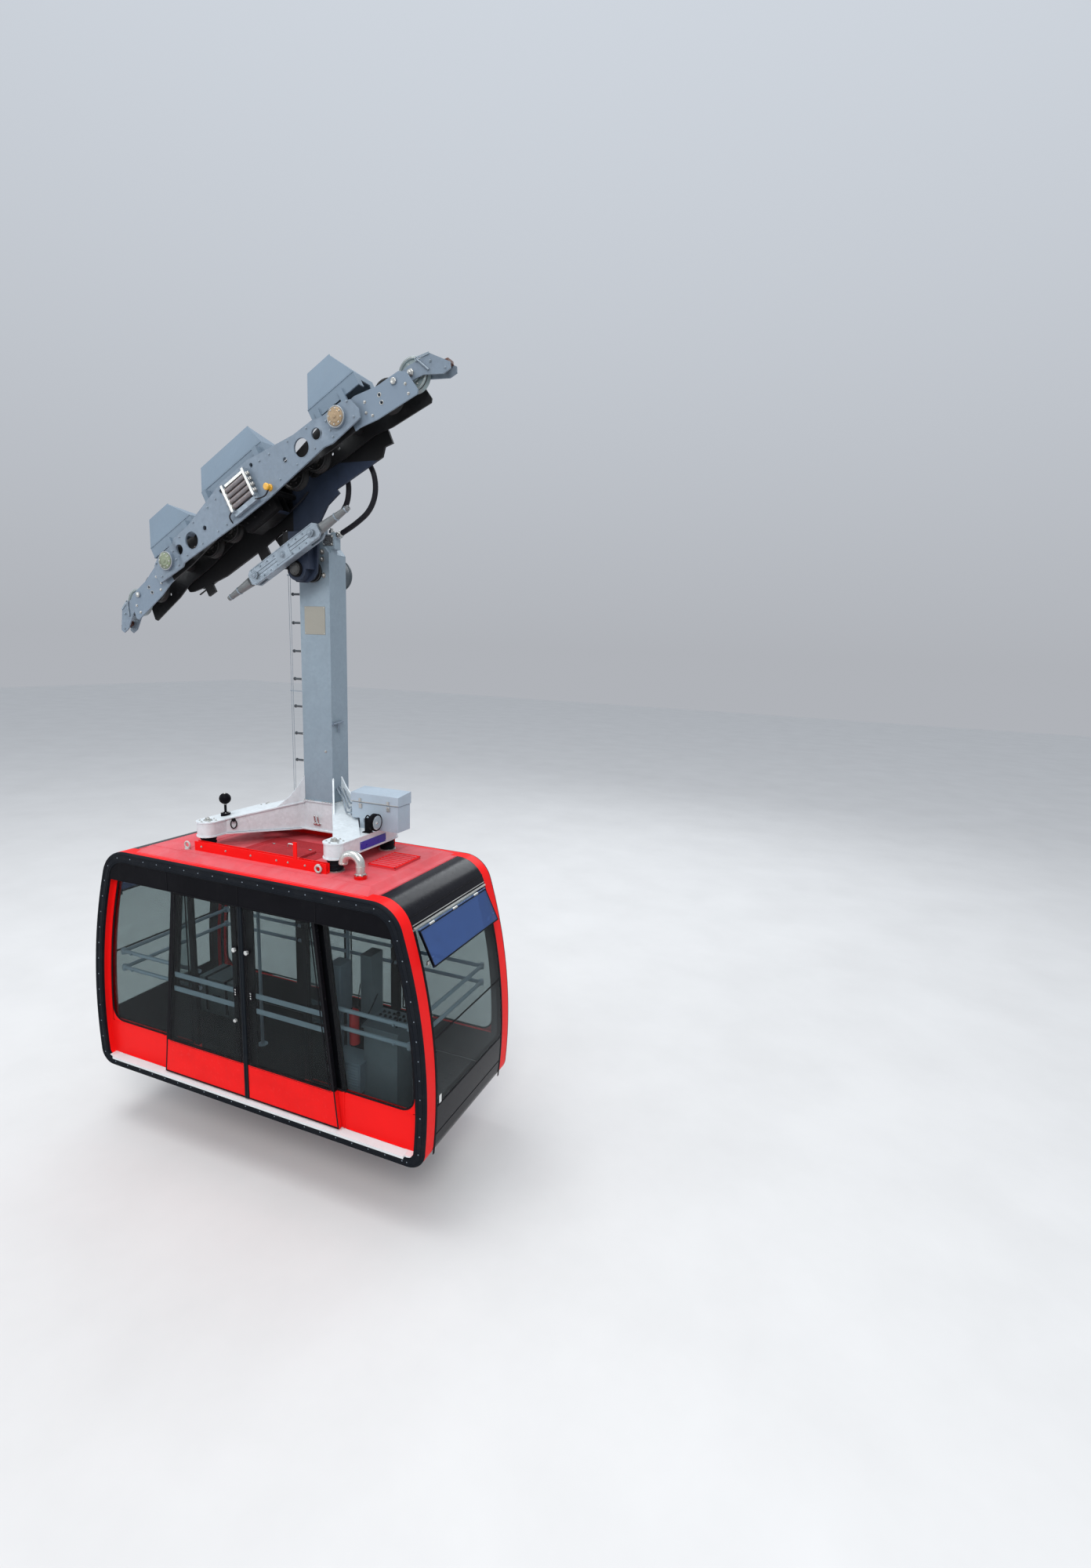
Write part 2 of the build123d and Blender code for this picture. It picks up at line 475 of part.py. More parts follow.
# raised middle: its edges slope up from the hoops
roof += loft([Plane.XY.offset(TOP) * Rectangle(2 * 1325, 2 * 722), Plane.XY.offset(CROWN) * Rectangle(2 * 1270, 2 * 604)], ruled=True)
HATCH = (-300.0, 260.0, -430.0, -70.0)      # x0 x1 y0 y1 of the roof hatch
roof -= block(HATCH[0] + 30, HATCH[1] - 30, HATCH[2] + 30, HATCH[3] - 30, TOP - 50, CROWN + 20)
HATCH_Z = CROWN + 5
hatch = block(HATCH[0], HATCH[1], HATCH[2], HATCH[3], HATCH_Z, HATCH_Z + 22)
hy, hz = HATCH[2] - 8, HATCH_Z + 11     # hinge line of the hatch
for x in (HATCH[0] + 100, HATCH[1] - 100):
    hatch -= block(x - 62, x + 62, HATCH[2] - 1, HATCH[2] + 12, HATCH_Z - 1, HATCH_Z + 30)
    hatch += block(x - 36, x + 36, hy, HATCH[2] + 14, hz - 6, hz + 6) + rod_x(hy, hz, 8, x - 54, x + 54)
    for xa in (x - 54, x + 42):
        roof += block(xa, xa + 12, hy - 13, hy + 12, CROWN - 2, hz + 12)
        roof -= rod_x(hy, hz, 8.5, xa - 1, xa + 13)
# louvred vent on the roof
VENT = (920.0, 1210.0, -160.0, 270.0)
roof += block(*VENT, CROWN - 2, CROWN + 20)
for k in range(8):
    y = VENT[2] + 22 + k * 50
    roof += block(VENT[0] + 14, VENT[1] - 14, y, y + 22, CROWN + 18, CROWN + 28)
save("roof_panel", cab(roof))
save("roof_hatch", cab(hatch))

headers, windows, aprons = [], [], []
for side in (-1, 1):
    half = block(min(0, side * 2100), max(0, side * 2100), -900, 900, -400, 2400)
    def zcut(z0, z1):
        return band & block(min(0, side * 2100), max(0, side * 2100), -900, 900, z0, z1)
    head = zcut(Z_HEAD, TOP + 5) - block(-ROOF_X, ROOF_X, -900, 900, -400, 2400)
    headers.append(cab(head))
    windows.append(cab(zcut(Z_WLOW, Z_HEAD)))
    aprons.append(cab(zcut(BOT + 40, Z_WLOW)))
save("end_headers", Compound(children=headers))
save("end_windows", Compound(children=windows))
save("end_aprons", Compound(children=aprons))

# top-hung vent flaps in the end windows, tilted out
FLAP_TILT, FLAP_L, FLAP_Z = 27.0, 330.0, 1925.0
flaps = []
for side in (-1, 1):
    x = side * (x_end(FLAP_Z) + 18)
    f = Pos(x, 0, FLAP_Z) * Rot(0, -side * FLAP_TILT, 0) * block(-8, 8, -600, 600, -FLAP_L, 0)
    f += rod_y(x, FLAP_Z, 10, -600, 600)
    for y in (-400, 0, 400):
        f += block(min(x, x - side * 18), max(x, x - side * 18), y - 30, y + 30, FLAP_Z - 6, FLAP_Z + 6) - band
    flaps.append(cab(f))
save("vent_flaps", Compound(children=flaps))

floor = xz(profile(0), -IN_Y, IN_Y) & block(-2000, 2000, -900, 900, BOT, BOT + 40)
floor += block(-1785, 1785, -IN_Y, IN_Y, BOT + 40, -54) + block(-1700, 1700, -IN_Y, IN_Y, -54, BOT + HOOP) + block(-1700, 1700, -700, 700, BOT + HOOP, -12)
for xa, xb in ((-1690, -880), (-850, -15), (15, 850), (880, 1690)):      # closed spaces between the floor's bearers
    floor -= block(xa, xb, -620, 620, BOT + 16, -40)
save("floor_pan", cab(floor))

# ---- side walls: fixed panels beside the doorway, headers, rails, sills
DOOR_Y0, DOOR_Y1 = 748.0, 788.0         # door leaf, inner and outer face
PAN_Y0, PAN_Y1 = 700.0, 740.0           # fixed panels
FASC_Y0, FASC_Y1 = HW, HW + 10         # header fascia
DOORWAY = 640.0                         # half width of the clear doorway
Z_DOOR, Z_FASC = 1960.0, 1900.0         # door leaf top, fascia lower edge
Z_GLASS = 352.0                         # glass above the red lower panels
inner = profile(HOOP)
panel_face = inner & poly((DOORWAY, -10), (2000, -10), (2000, 2100), (DOORWAY, 2100))
win_face = profile(HOOP + 46) & poly((DOORWAY + 60, Z_GLASS), (2000, Z_GLASS), (2000, 1985), (DOORWAY + 60, 1985))
glass_face = profile(HOOP + 34) & poly((DOORWAY + 48, Z_GLASS - 12), (2000, Z_GLASS - 12), (2000, 1997), (DOORWAY + 48, 1997))
panels, panes = [], []
for side in (-1, 1):
    for flip in (False, True):
        pf, wf, gf = panel_face, win_face, glass_face
        if flip:
            pf, wf, gf = mirror(pf, Plane.YZ), mirror(wf, Plane.YZ), mirror(gf, Plane.YZ)
        a, b = sorted((side * PAN_Y0, side * PAN_Y1))
        g0, g1 = sorted((side * (PAN_Y1 - 16), side * PAN_Y1))
        wall = xz(pf, a, b) - xz(wf, a - 1, b + 1) - xz(gf, g0, g1)
        panels.append(cab(wall))
        panes.append(cab(xz(gf, g0, g1)))
# the far side has fixed middle panels instead of doors
mid_face = poly((-DOORWAY, -10), (DOORWAY, -10), (DOORWAY, 2090), (-DOORWAY, 2090))
mid_win = poly((-DOORWAY + 60, Z_GLASS), (-30, Z_GLASS), (-30, 1985), (-DOORWAY + 60, 1985)) + poly((30, Z_GLASS), (DOORWAY - 60, Z_GLASS), (DOORWAY - 60, 1985), (30, 1985))
mid_glass = poly((-DOORWAY + 48, Z_GLASS - 12), (-18, Z_GLASS - 12), (-18, 1997), (-DOORWAY + 48, 1997)) + poly((18, Z_GLASS - 12), (DOORWAY - 48, Z_GLASS - 12), (DOORWAY - 48, 1997), (18, 1997))
far_mid = xz(mid_face, PAN_Y0, PAN_Y1) - xz(mid_win, PAN_Y0 - 1, PAN_Y1 + 1) - xz(mid_glass, PAN_Y1 - 16, PAN_Y1)
far_mid_glass = xz(mid_glass, PAN_Y1 - 16, PAN_Y1)
save("side_panels", Compound(children=panels[:2] + [panels[2] + panels[3] + cab(far_mid)]))
save("side_windows", Compound(children=panes + [cab(g) for g in far_mid_glass.solids()]))

heads = []
fasc = profile(HOOP) & poly((-2000, Z_FASC), (2000, Z_FASC), (2000, 2300), (-2000, 2300))
for side in (-1, 1):
    a, b = sorted((side * FASC_Y0, side * FASC_Y1))
    head = xz(fasc, a, b)
    if side < 0:        # door rail on the header's back
        head += block(-1470, 1470, -FASC_Y0 - 2, -772, 2000, 2045)
    heads.append(cab(head))
save("door_headers", Compound(children=heads))

sills = []
sill_face = profile(HOOP) & poly((-1900, -60), (1900, -60), (1900, -10), (-1900, -10))
for side in (-1, 1):        # step along the wall's foot, its nose out over the rubber rim
    a, b = sorted((side * PAN_Y0, side * (HW + 14)))
    c, d = sorted((side * (HW + 12), side * 832))
    sills.append(cab(xz(sill_face, a, b) + block(-1740, 1740, c, d, BOT + HOOP, -10)))
save("sills", Compound(children=sills))

# ---- doors: trapezoid leaves, wider at the bottom, with a red lower panel and glass
LEAF_TOP, LEAF_BOT = 822.0, 1045.0      # outer edge from the middle at the fascia and at the sill
GAP = 4.0


def leaf_x(z):
    return LEAF_BOT + (LEAF_TOP - LEAF_BOT) * z / Z_FASC


STILE = 48.0
for name, side in (("left", -1), ("right", 1)):
    def tx(pts):
        return [(side * u, v) for u, v in pts]
    outer = poly(*tx([(GAP, 0), (leaf_x(0), 0), (leaf_x(Z_DOOR), Z_DOOR), (GAP, Z_DOOR)]))
    light = poly(*tx([(GAP + STILE, Z_GLASS), (leaf_x(Z_GLASS) - STILE, Z_GLASS), (leaf_x(1890) - STILE, 1890), (GAP + STILE, 1890)]))
    rebate = poly(*tx([(GAP + STILE - 14, Z_GLASS - 14), (leaf_x(Z_GLASS) - STILE + 14, Z_GLASS - 14), (leaf_x(1890) - STILE + 14, 1904), (GAP + STILE - 14, 1904)]))
    leaf = xz(outer, -DOOR_Y1, -DOOR_Y0) - xz(light, -DOOR_Y1 - 1, -DOOR_Y0 + 1) - xz(rebate, -DOOR_Y1, -DOOR_Y1 + 14)
    for u in (150, 620):        # hangers that run behind the rail
        leaf += block(min(side * u, side * (u + 90)), max(side * u, side * (u + 90)), -764, -DOOR_Y0, Z_DOOR, 2060)
    save("door_" + name, cab(leaf))
    save("door_%s_glass" % name, cab(xz(rebate, -DOOR_Y1, -DOOR_Y1 + 14)))

# ================================================================ roof fittings
rails = []
for side in (-1, 1):
    y = side * 505
    r = block(-785, 750, y - 25, y + 25, CROWN, CROWN + 90) - block(-790, 755, y - 17, y + 17, CROWN + 10, CROWN + 100)
    if side < 0:        # upright tab on the door side's rail
        r += block(390, 430, y - 25, y + 25, CROWN + 4, 2478) - block(385, 435, y - 16, y + 30, CROWN + 92, 2490)
    # lifting eyes: one on a pad on the roof, one on the rail's outer face
    ring = Rot(90, 0, 0) * Torus(30, 9)
    r += Pos(672, side * 541, CROWN + 41) * ring + block(658, 686, min(side * 528, side * 545), max(side * 528, side * 545), CROWN + 58, CROWN + 82)
    rails.append(cab(r))
    rails.append(cab(Pos(-875, side * 534, CROWN + 42) * ring + rod_z(-875, side * 534, 26, CROWN, CROWN + 10)))
save("roof_rails", Compound(children=rails))
PV = [(1075, -480, CROWN), (1075, -480, 2435), (895, -480, 2435), (895, -480, 2340)]
pipe = tube_along(PV, [85, 85], 40, 33)
pipe += rod_z(1075, -480, 56, CROWN, CROWN + 32) - rod_z(1075, -480, 33, CROWN - 10, CROWN + 60)
save("vent_pipe", cab(pipe))

# ================================================================ interior
RAIL_R, RAIL_WALL = 19.0, 660.0
rail_bits = []
for z in (905, 1080):
    for side in (-1, 1):
        y = side * RAIL_WALL
        for x0, x1 in ((-1709, -660), (660, 1709)):
            bar = rod_x(y, z, RAIL_R, x0, x1)
            for x in (x0 + 160 if x0 < 0 else x0 + 60, x1 - 60 if x0 < 0 else x1 - 160):
                bar += rod_y(x, z, 9, min(y, side * PAN_Y0), max(y, side * PAN_Y0))
            rail_bits.append(bar)
        rail_bits.append(rod_y(side * 1690, z, RAIL_R, -RAIL_WALL + RAIL_R, RAIL_WALL - RAIL_R))
    bar = rod_x(RAIL_WALL, z, RAIL_R, -620, 620)
    for x in (-590, 0, 590):
        bar += rod_y(x, z, 9, RAIL_WALL, PAN_Y0)
    rail_bits.append(bar)
for x in (-560, 560):       # standing poles
    rail_bits.append(rod_z(x, 0, 17, -12, TOP - 40))
save("handrails", Compound(children=[cab(b) for b in rail_bits]))

desk = block(1150, 1500, -560, -250, -12, 900) - block(1170, 1480, -540, -270, 400, 870)
desk += block(1130, 1520, -580, -230, 900, 925)
desk += block(1020, 1132, -420, -240, 900, 1500) + block(1060, 1090, -350, -310, -12, 904)
save("operator_desk", cab(desk))
save("rescue_chest", cab(block(-1705, -1205, 250, 600, -12, 420)))
print("pin", round(XP, 2), round(ZP, 2), "sill", round(ZS, 2))
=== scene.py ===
import bpy
import bmesh
import math
from mathutils import Matrix, Vector

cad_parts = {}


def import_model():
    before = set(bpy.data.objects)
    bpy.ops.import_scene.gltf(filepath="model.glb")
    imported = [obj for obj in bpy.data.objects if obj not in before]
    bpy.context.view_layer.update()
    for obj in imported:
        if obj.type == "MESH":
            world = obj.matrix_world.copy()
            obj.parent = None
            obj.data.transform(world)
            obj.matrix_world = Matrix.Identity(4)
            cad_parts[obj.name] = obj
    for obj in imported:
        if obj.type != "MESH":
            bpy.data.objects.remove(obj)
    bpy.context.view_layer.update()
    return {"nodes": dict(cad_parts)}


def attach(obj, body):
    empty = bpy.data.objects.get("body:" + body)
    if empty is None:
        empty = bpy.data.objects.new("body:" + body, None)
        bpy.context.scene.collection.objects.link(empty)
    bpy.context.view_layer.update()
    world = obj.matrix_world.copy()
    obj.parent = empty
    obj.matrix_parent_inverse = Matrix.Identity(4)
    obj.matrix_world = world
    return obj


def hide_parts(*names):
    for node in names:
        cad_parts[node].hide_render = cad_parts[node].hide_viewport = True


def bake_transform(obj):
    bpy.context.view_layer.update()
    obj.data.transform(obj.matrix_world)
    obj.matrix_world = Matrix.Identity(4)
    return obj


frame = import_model()

# ---------------------------------------------------------------- places, millimetres
MM = 0.001
SLOPE = math.radians(29.3)
CA, SA = math.cos(SLOPE), math.sin(SLOPE)
XP, ZP = 530.0 * SA, -530.0 * CA
ZS = ZP - 4880.0
CAB = Matrix.Translation((XP * MM, 0, ZS * MM)) @ Matrix.Scale(MM, 4)      # cabin: x from the hanger pin, z from the sill
CAR = Matrix.Rotation(-SLOPE, 4, "Y") @ Matrix.Scale(MM, 4)                # carriage: along the rope, across, square to it
END_R, END_X, END_Z = 5000.0, 1942.0, 440.0
BOT, TOP, HW, HOOP, CROWN = -124.0, 2190.0, 797.0, 100.0, 2236.0
R_TOP, R_BOT = 300.0, 165.0
Z_GLASS, Z_FASC = 352.0, 1900.0


def x_end(z, off=0.0):
    r = END_R - off
    return END_X - END_R + math.sqrt(r * r - (z - END_Z) ** 2)


def outline(off, n=10):
    """the cabin's closed side outline, inset by off, as (x, z) corners"""
    rt, rb, big, cx = max(R_TOP - off, 20), max(R_BOT - off, 20), END_R - off, END_X - END_R
    zb, zt = BOT + off + rb, TOP - off - rt
    xb = cx + math.sqrt((big - rb) ** 2 - (zb - END_Z) ** 2)
    xt = cx + math.sqrt((big - rt) ** 2 - (zt - END_Z) ** 2)
    ab, at = math.atan2(zb - END_Z, xb - cx), math.atan2(zt - END_Z, xt - cx)
    pts = []
    for k in range(n + 1):
        a = -math.pi / 2 + (ab + math.pi / 2) * k / n
        pts.append((xb + rb * math.cos(a), zb + rb * math.sin(a)))
    for k in range(1, 2 * n):
        a = ab + (at - ab) * k / (2 * n)
        pts.append((cx + big * math.cos(a), END_Z + big * math.sin(a)))
    for k in range(n + 1):
        a = at + (math.pi / 2 - at) * k / n
        pts.append((xt + rt * math.cos(a), zt + rt * math.sin(a)))
    return pts + [(-x, z) for x, z in reversed(pts)]


def walk(pts, step, closed=True, start=0.0):
    """places spaced evenly along a path, with its direction there"""
    loop = list(pts) + ([pts[0]] if closed else [])
    out, left = [], start
    for a, b in zip(loop, loop[1:]):
        a, b = Vector(a), Vector(b)
        run = (b - a).length
        if run < 1e-6:
            continue
        d = (b - a) / run
        while left <= run:
            out.append((a + d * left, d))
            left += step
        left -= run
    return out


# ---------------------------------------------------------------- finishes
class Finish:
    """one procedural material, its patterns in the part's own coordinates"""

    def __init__(self, name):
        self.mat = bpy.data.materials.new(name)
        self.mat.use_nodes = True
        self.tree = self.mat.node_tree
        self.tree.nodes.clear()
        self.out = self.add("ShaderNodeOutputMaterial")
        self.bsdf = self.add("ShaderNodeBsdfPrincipled")
        self.link(self.bsdf.outputs[0], self.out.inputs[0])
        self.co = self.add("ShaderNodeTexCoord")

    def add(self, kind, **props):
        n = self.tree.nodes.new(kind)
        for k, v in props.items():
            setattr(n, k, v)
        return n

    def link(self, a, b):
        self.tree.links.new(a, b)

    def feed(self, socket, value):
        if hasattr(value, "links"):
            self.link(value, socket)
        else:
            socket.default_value = value

    def noise(self, scale, detail=4.0, rough=0.6, stretch=None, warp=0.0):
        n = self.add("ShaderNodeTexNoise")
        n.inputs["Scale"].default_value = scale
        n.inputs["Detail"].default_value = detail
        n.inputs["Roughness"].default_value = rough
        n.inputs["Distortion"].default_value = warp
        v = self.co.outputs["Object"]
        if stretch:
            m = self.add("ShaderNodeMapping")
            m.inputs["Scale"].default_value = stretch
            self.link(v, m.inputs["Vector"])
            v = m.outputs["Vector"]
        self.link(v, n.inputs["Vector"])
        return n.outputs["Fac"]

    def cells(self, scale, feature="F1", stretch=None):
        n = self.add("ShaderNodeTexVoronoi", feature=feature)
        n.inputs["Scale"].default_value = scale
        v = self.co.outputs["Object"]
        if stretch:
            m = self.add("ShaderNodeMapping")
            m.inputs["Scale"].default_value = stretch
            self.link(v, m.inputs["Vector"])
            v = m.outputs["Vector"]
        self.link(v, n.inputs["Vector"])
        return n

    def remap(self, v, a, b, c=0.0, d=1.0):
        n = self.add("ShaderNodeMapRange")
        self.link(v, n.inputs[0])
        for i, x in enumerate((a, b, c, d)):
            n.inputs[i + 1].default_value = x
        return n.outputs[0]

    def math(self, op, a, b=0.0):
        n = self.add("ShaderNodeMath", operation=op)
        self.feed(n.inputs[0], a)
        self.feed(n.inputs[1], b)
        return n.outputs[0]

    def mix(self, f, a, b):
        n = self.add("ShaderNodeMix", data_type="RGBA")
        self.feed(n.inputs[0], f)
        for i, c in ((6, a), (7, b)):
            self.feed(n.inputs[i], c if hasattr(c, "links") else (*c, 1.0))
        return n.outputs[2]

    def place(self):
        n = self.add("ShaderNodeSeparateXYZ")
        self.link(self.co.outputs["Object"], n.inputs[0])
        return n.outputs

    def facing(self):
        n = self.add("ShaderNodeSeparateXYZ")
        self.link(self.co.outputs["Normal"], n.inputs[0])
        return n.outputs

    def bump(self, height, strength, distance, under=None):
        n = self.add("ShaderNodeBump")
        n.inputs["Strength"].default_value = strength
        n.inputs["Distance"].default_value = distance
        self.link(height, n.inputs["Height"])
        if under:
            self.link(under, n.inputs["Normal"])
        return n.outputs[0]


def paint(name, rgb, rough=0.4, metal=0.0, coat=0.0, vary=0.10, patch=2.2, grain=260.0, bump=0.12, dirt=0.0,
          dirt_rgb=(0.10, 0.09, 0.075), regions=(), dust=0.0, dust_rgb=(0.35, 0.30, 0.27), wave=0.0, spec=0.5):
    """paint or metal with soft variation, fine grain, dirt in blotches, dust on upward faces;
    regions: (test, colour) pairs, where test(finish, place) gives a 0 to 1 mask"""
    f = Finish(name)
    place = f.place()
    colour = rgb
    for test, other in regions:
        colour = f.mix(test(f, place), colour, other)
    big = f.noise(patch, 6, 0.62, warp=0.4)
    small = f.noise(patch * 14, 4, 0.6)
    dark = f.mix(f.remap(big, 0.30, 0.72, 0.0, 1.0), (1 - vary * 1.6,) * 3, (1 + vary * 0.6,) * 3)
    n = f.add("ShaderNodeMix", data_type="RGBA", blend_type="MULTIPLY")
    n.inputs[0].default_value = 1.0
    f.feed(n.inputs[6], colour if hasattr(colour, "links") else (*colour, 1))
    f.link(dark, n.inputs[7])
    colour = n.outputs[2]
    if dirt:
        runs = f.noise(patch * 3.1, 7, 0.7, stretch=(1.6, 1.6, 0.42), warp=0.8)
        mask = f.math("MULTIPLY", f.remap(runs, 0.50, 0.78, 0.0, 1.0), dirt)
        colour = f.mix(mask, colour, dirt_rgb)
    if dust:
        up = f.remap(f.facing()[2], 0.55, 0.95, 0.0, 1.0)
        cloud = f.remap(f.noise(patch * 2.0, 7, 0.7, warp=1.0), 0.30, 0.68, 0.15, 1.0)
        colour = f.mix(f.math("MULTIPLY", f.math("MULTIPLY", up, cloud), dust), colour, dust_rgb)
    f.link(colour, f.bsdf.inputs["Base Color"])
    f.bsdf.inputs["Metallic"].default_value = metal
    f.bsdf.inputs["Specular IOR Level"].default_value = spec
    f.link(f.remap(small, 0.25, 0.75, max(rough - 0.07, 0.02), min(rough + 0.10, 1.0)), f.bsdf.inputs["Roughness"])
    if coat:
        f.bsdf.inputs["Coat Weight"].default_value = coat
        f.bsdf.inputs["Coat Roughness"].default_value = 0.06
    b = f.bump(f.noise(grain, 3, 0.5), bump, 0.0006)
    if wave:
        b = f.bump(f.noise(3.0, 2, 0.5), wave, 0.004, b)
    f.link(b, f.bsdf.inputs["Normal"])
    return f.mat


def galvanised(name, rgb, rough=0.42, dirt=0.25, spangle=0.16, regions=(), metal=0.35):
    """zinc-grey steel: crystal spangle, cloudy patches and faint streaks"""
    f = Finish(name)
    cell = f.cells(38.0)
    tint = f.add("ShaderNodeSeparateColor")
    f.link(cell.outputs["Color"], tint.inputs[0])
    spang = f.mix(tint.outputs[0], tuple(c * (1 - spangle) for c in rgb), tuple(min(c * (1 + spangle), 1) for c in rgb))
    cloud = f.noise(2.4, 6, 0.65, warp=0.6)
    base = f.mix(f.remap(cloud, 0.32, 0.70, 0.0, 0.55), spang, tuple(c * 0.80 for c in rgb))
    runs = f.noise(6.5, 7, 0.7, stretch=(1.5, 1.5, 0.35), warp=0.7)
    base = f.mix(f.math("MULTIPLY", f.remap(runs, 0.54, 0.80, 0.0, 1.0), dirt), base, (0.12, 0.11, 0.10))
    place = f.place()
    for test, other in regions:
        base = f.mix(test(f, place), base, other)
    f.link(base, f.bsdf.inputs["Base Color"])
    f.bsdf.inputs["Metallic"].default_value = metal
    f.link(f.remap(f.noise(24, 4, 0.6), 0.25, 0.75, rough - 0.08, rough + 0.12), f.bsdf.inputs["Roughness"])
    f.link(f.bump(f.noise(190, 3, 0.5), 0.10, 0.0006), f.bsdf.inputs["Normal"])
    return f.mat


def rubber(name, rgb, rough=0.62, dusty=0.25, spec=0.3):
    f = Finish(name)
    cloud = f.remap(f.noise(5.5, 7, 0.7, stretch=(0.7, 1, 1.6), warp=0.8), 0.44, 0.78, 0.0, 1.0)
    base = f.mix(f.math("MULTIPLY", cloud, dusty), rgb, (0.16, 0.155, 0.145))
    f.link(base, f.bsdf.inputs["Base Color"])
    f.link(f.remap(f.noise(30, 4, 0.6), 0.25, 0.75, rough - 0.12, rough + 0.10), f.bsdf.inputs["Roughness"])
    f.bsdf.inputs["Specular IOR Level"].default_value = spec
    f.link(f.bump(f.noise(320, 4, 0.6), 0.25, 0.0006), f.bsdf.inputs["Normal"])
    return f.mat


def pane(name, tint, shine=1.0, film=None):
    """tinted pane: clear through its tint, with reflections that grow at a slant, smears in its roughness;
    film: (colour, share) of a diffuse coloured layer mixed over the clear part"""
    f = Finish(name)
    clear = f.add("ShaderNodeBsdfTransparent")
    smear = f.noise(7.0, 5, 0.65, warp=0.8)
    f.link(f.mix(f.remap(smear, 0.35, 0.75, 0.0, 0.5), tint, tuple(c * 0.90 for c in tint)), clear.inputs[0])
    f.bsdf.inputs["Base Color"].default_value = (0.86, 0.90, 0.93, 1)
    f.bsdf.inputs["Metallic"].default_value = 1.0
    f.link(f.remap(smear, 0.3, 0.8, 0.015, 0.07), f.bsdf.inputs["Roughness"])
    f.link(f.bump(f.noise(1.6, 2, 0.5), 0.10, 0.003), f.bsdf.inputs["Normal"])
    slant = f.add("ShaderNodeLayerWeight")
    grow = f.math("POWER", slant.outputs["Facing"], 5.0)
    both = f.add("ShaderNodeMixShader")
    f.link(f.math("ADD", f.math("MULTIPLY", grow, 0.50 * shine), 0.012 * shine), both.inputs[0])
    through = clear.outputs[0]
    if film:
        coat = f.add("ShaderNodeBsdfDiffuse")
        f.link(f.mix(f.remap(smear, 0.3, 0.8), film[0], tuple(c * 0.8 for c in film[0])), coat.inputs[0])
        veil = f.add("ShaderNodeMixShader")
        f.link(f.remap(smear, 0.3, 0.8, film[1] * 0.9, film[1] * 1.1), veil.inputs[0])
        f.link(clear.outputs[0], veil.inputs[1])
        f.link(coat.outputs[0], veil.inputs[2])
        through = veil.outputs[0]
    f.link(through, both.inputs[1])
    f.link(f.bsdf.outputs[0], both.inputs[2])
    f.link(both.outputs[0], f.out.inputs[0])
    return f.mat


def below(z_cab):
    """mask: under a level of the cabin frame"""
    return lambda f, p: f.math("LESS_THAN", p[2], (ZS + z_cab) * MM)


def above(z_cab):
    return lambda f, p: f.math("GREATER_THAN", p[2], (ZS + z_cab) * MM)


def inside_y(y):
    return lambda f, p: f.math("LESS_THAN", f.math("ABSOLUTE", p[1]), y * MM)


def outside_y(y):
    return lambda f, p: f.math("GREATER_THAN", f.math("ABSOLUTE", p[1]), y * MM)


def near_doors(f, p):
    """mask: the posts of the fixed walls beside the doorway, above the lower panels"""
    x = f.math("ABSOLUTE", f.math("SUBTRACT", p[0], XP * MM))
    return f.math("MULTIPLY", f.math("LESS_THAN", x, 1.30), f.math("GREATER_THAN", p[2], (ZS + Z_GLASS) * MM))


def both(a, b):
    return lambda f, p: f.math("MULTIPLY", a(f, p), b(f, p))


def facing_away(f, p):
    """mask: faces turned to the far side, which the side-plate finish paints near-black as shade"""
    return f.math("GREATER_THAN", f.facing()[1], 0.35)


def right_of(x_cab):
    return lambda f, p: f.math("GREATER_THAN", p[0], (XP + x_cab) * MM)


def left_of(x_cab):
    return lambda f, p: f.math("LESS_THAN", p[0], (XP + x_cab) * MM)


def beyond(s):
    """mask: farther than s along the rope from the middle of the carriage, either way"""
    return lambda f, p: f.math("GREATER_THAN", f.math("ABSOLUTE", f.math(
        "ADD", f.math("MULTIPLY", p[0], CA), f.math("MULTIPLY", p[2], SA))), s * MM)


def nearer_than(y):
    return lambda f, p: f.math("LESS_THAN", p[1], y * MM)


def under_rope(n):
    """mask: below a line that runs along the rope"""
    return lambda f, p: f.math("LESS_THAN", f.math(
        "SUBTRACT", f.math("MULTIPLY", p[2], CA), f.math("MULTIPLY", p[0], SA)), n * MM)


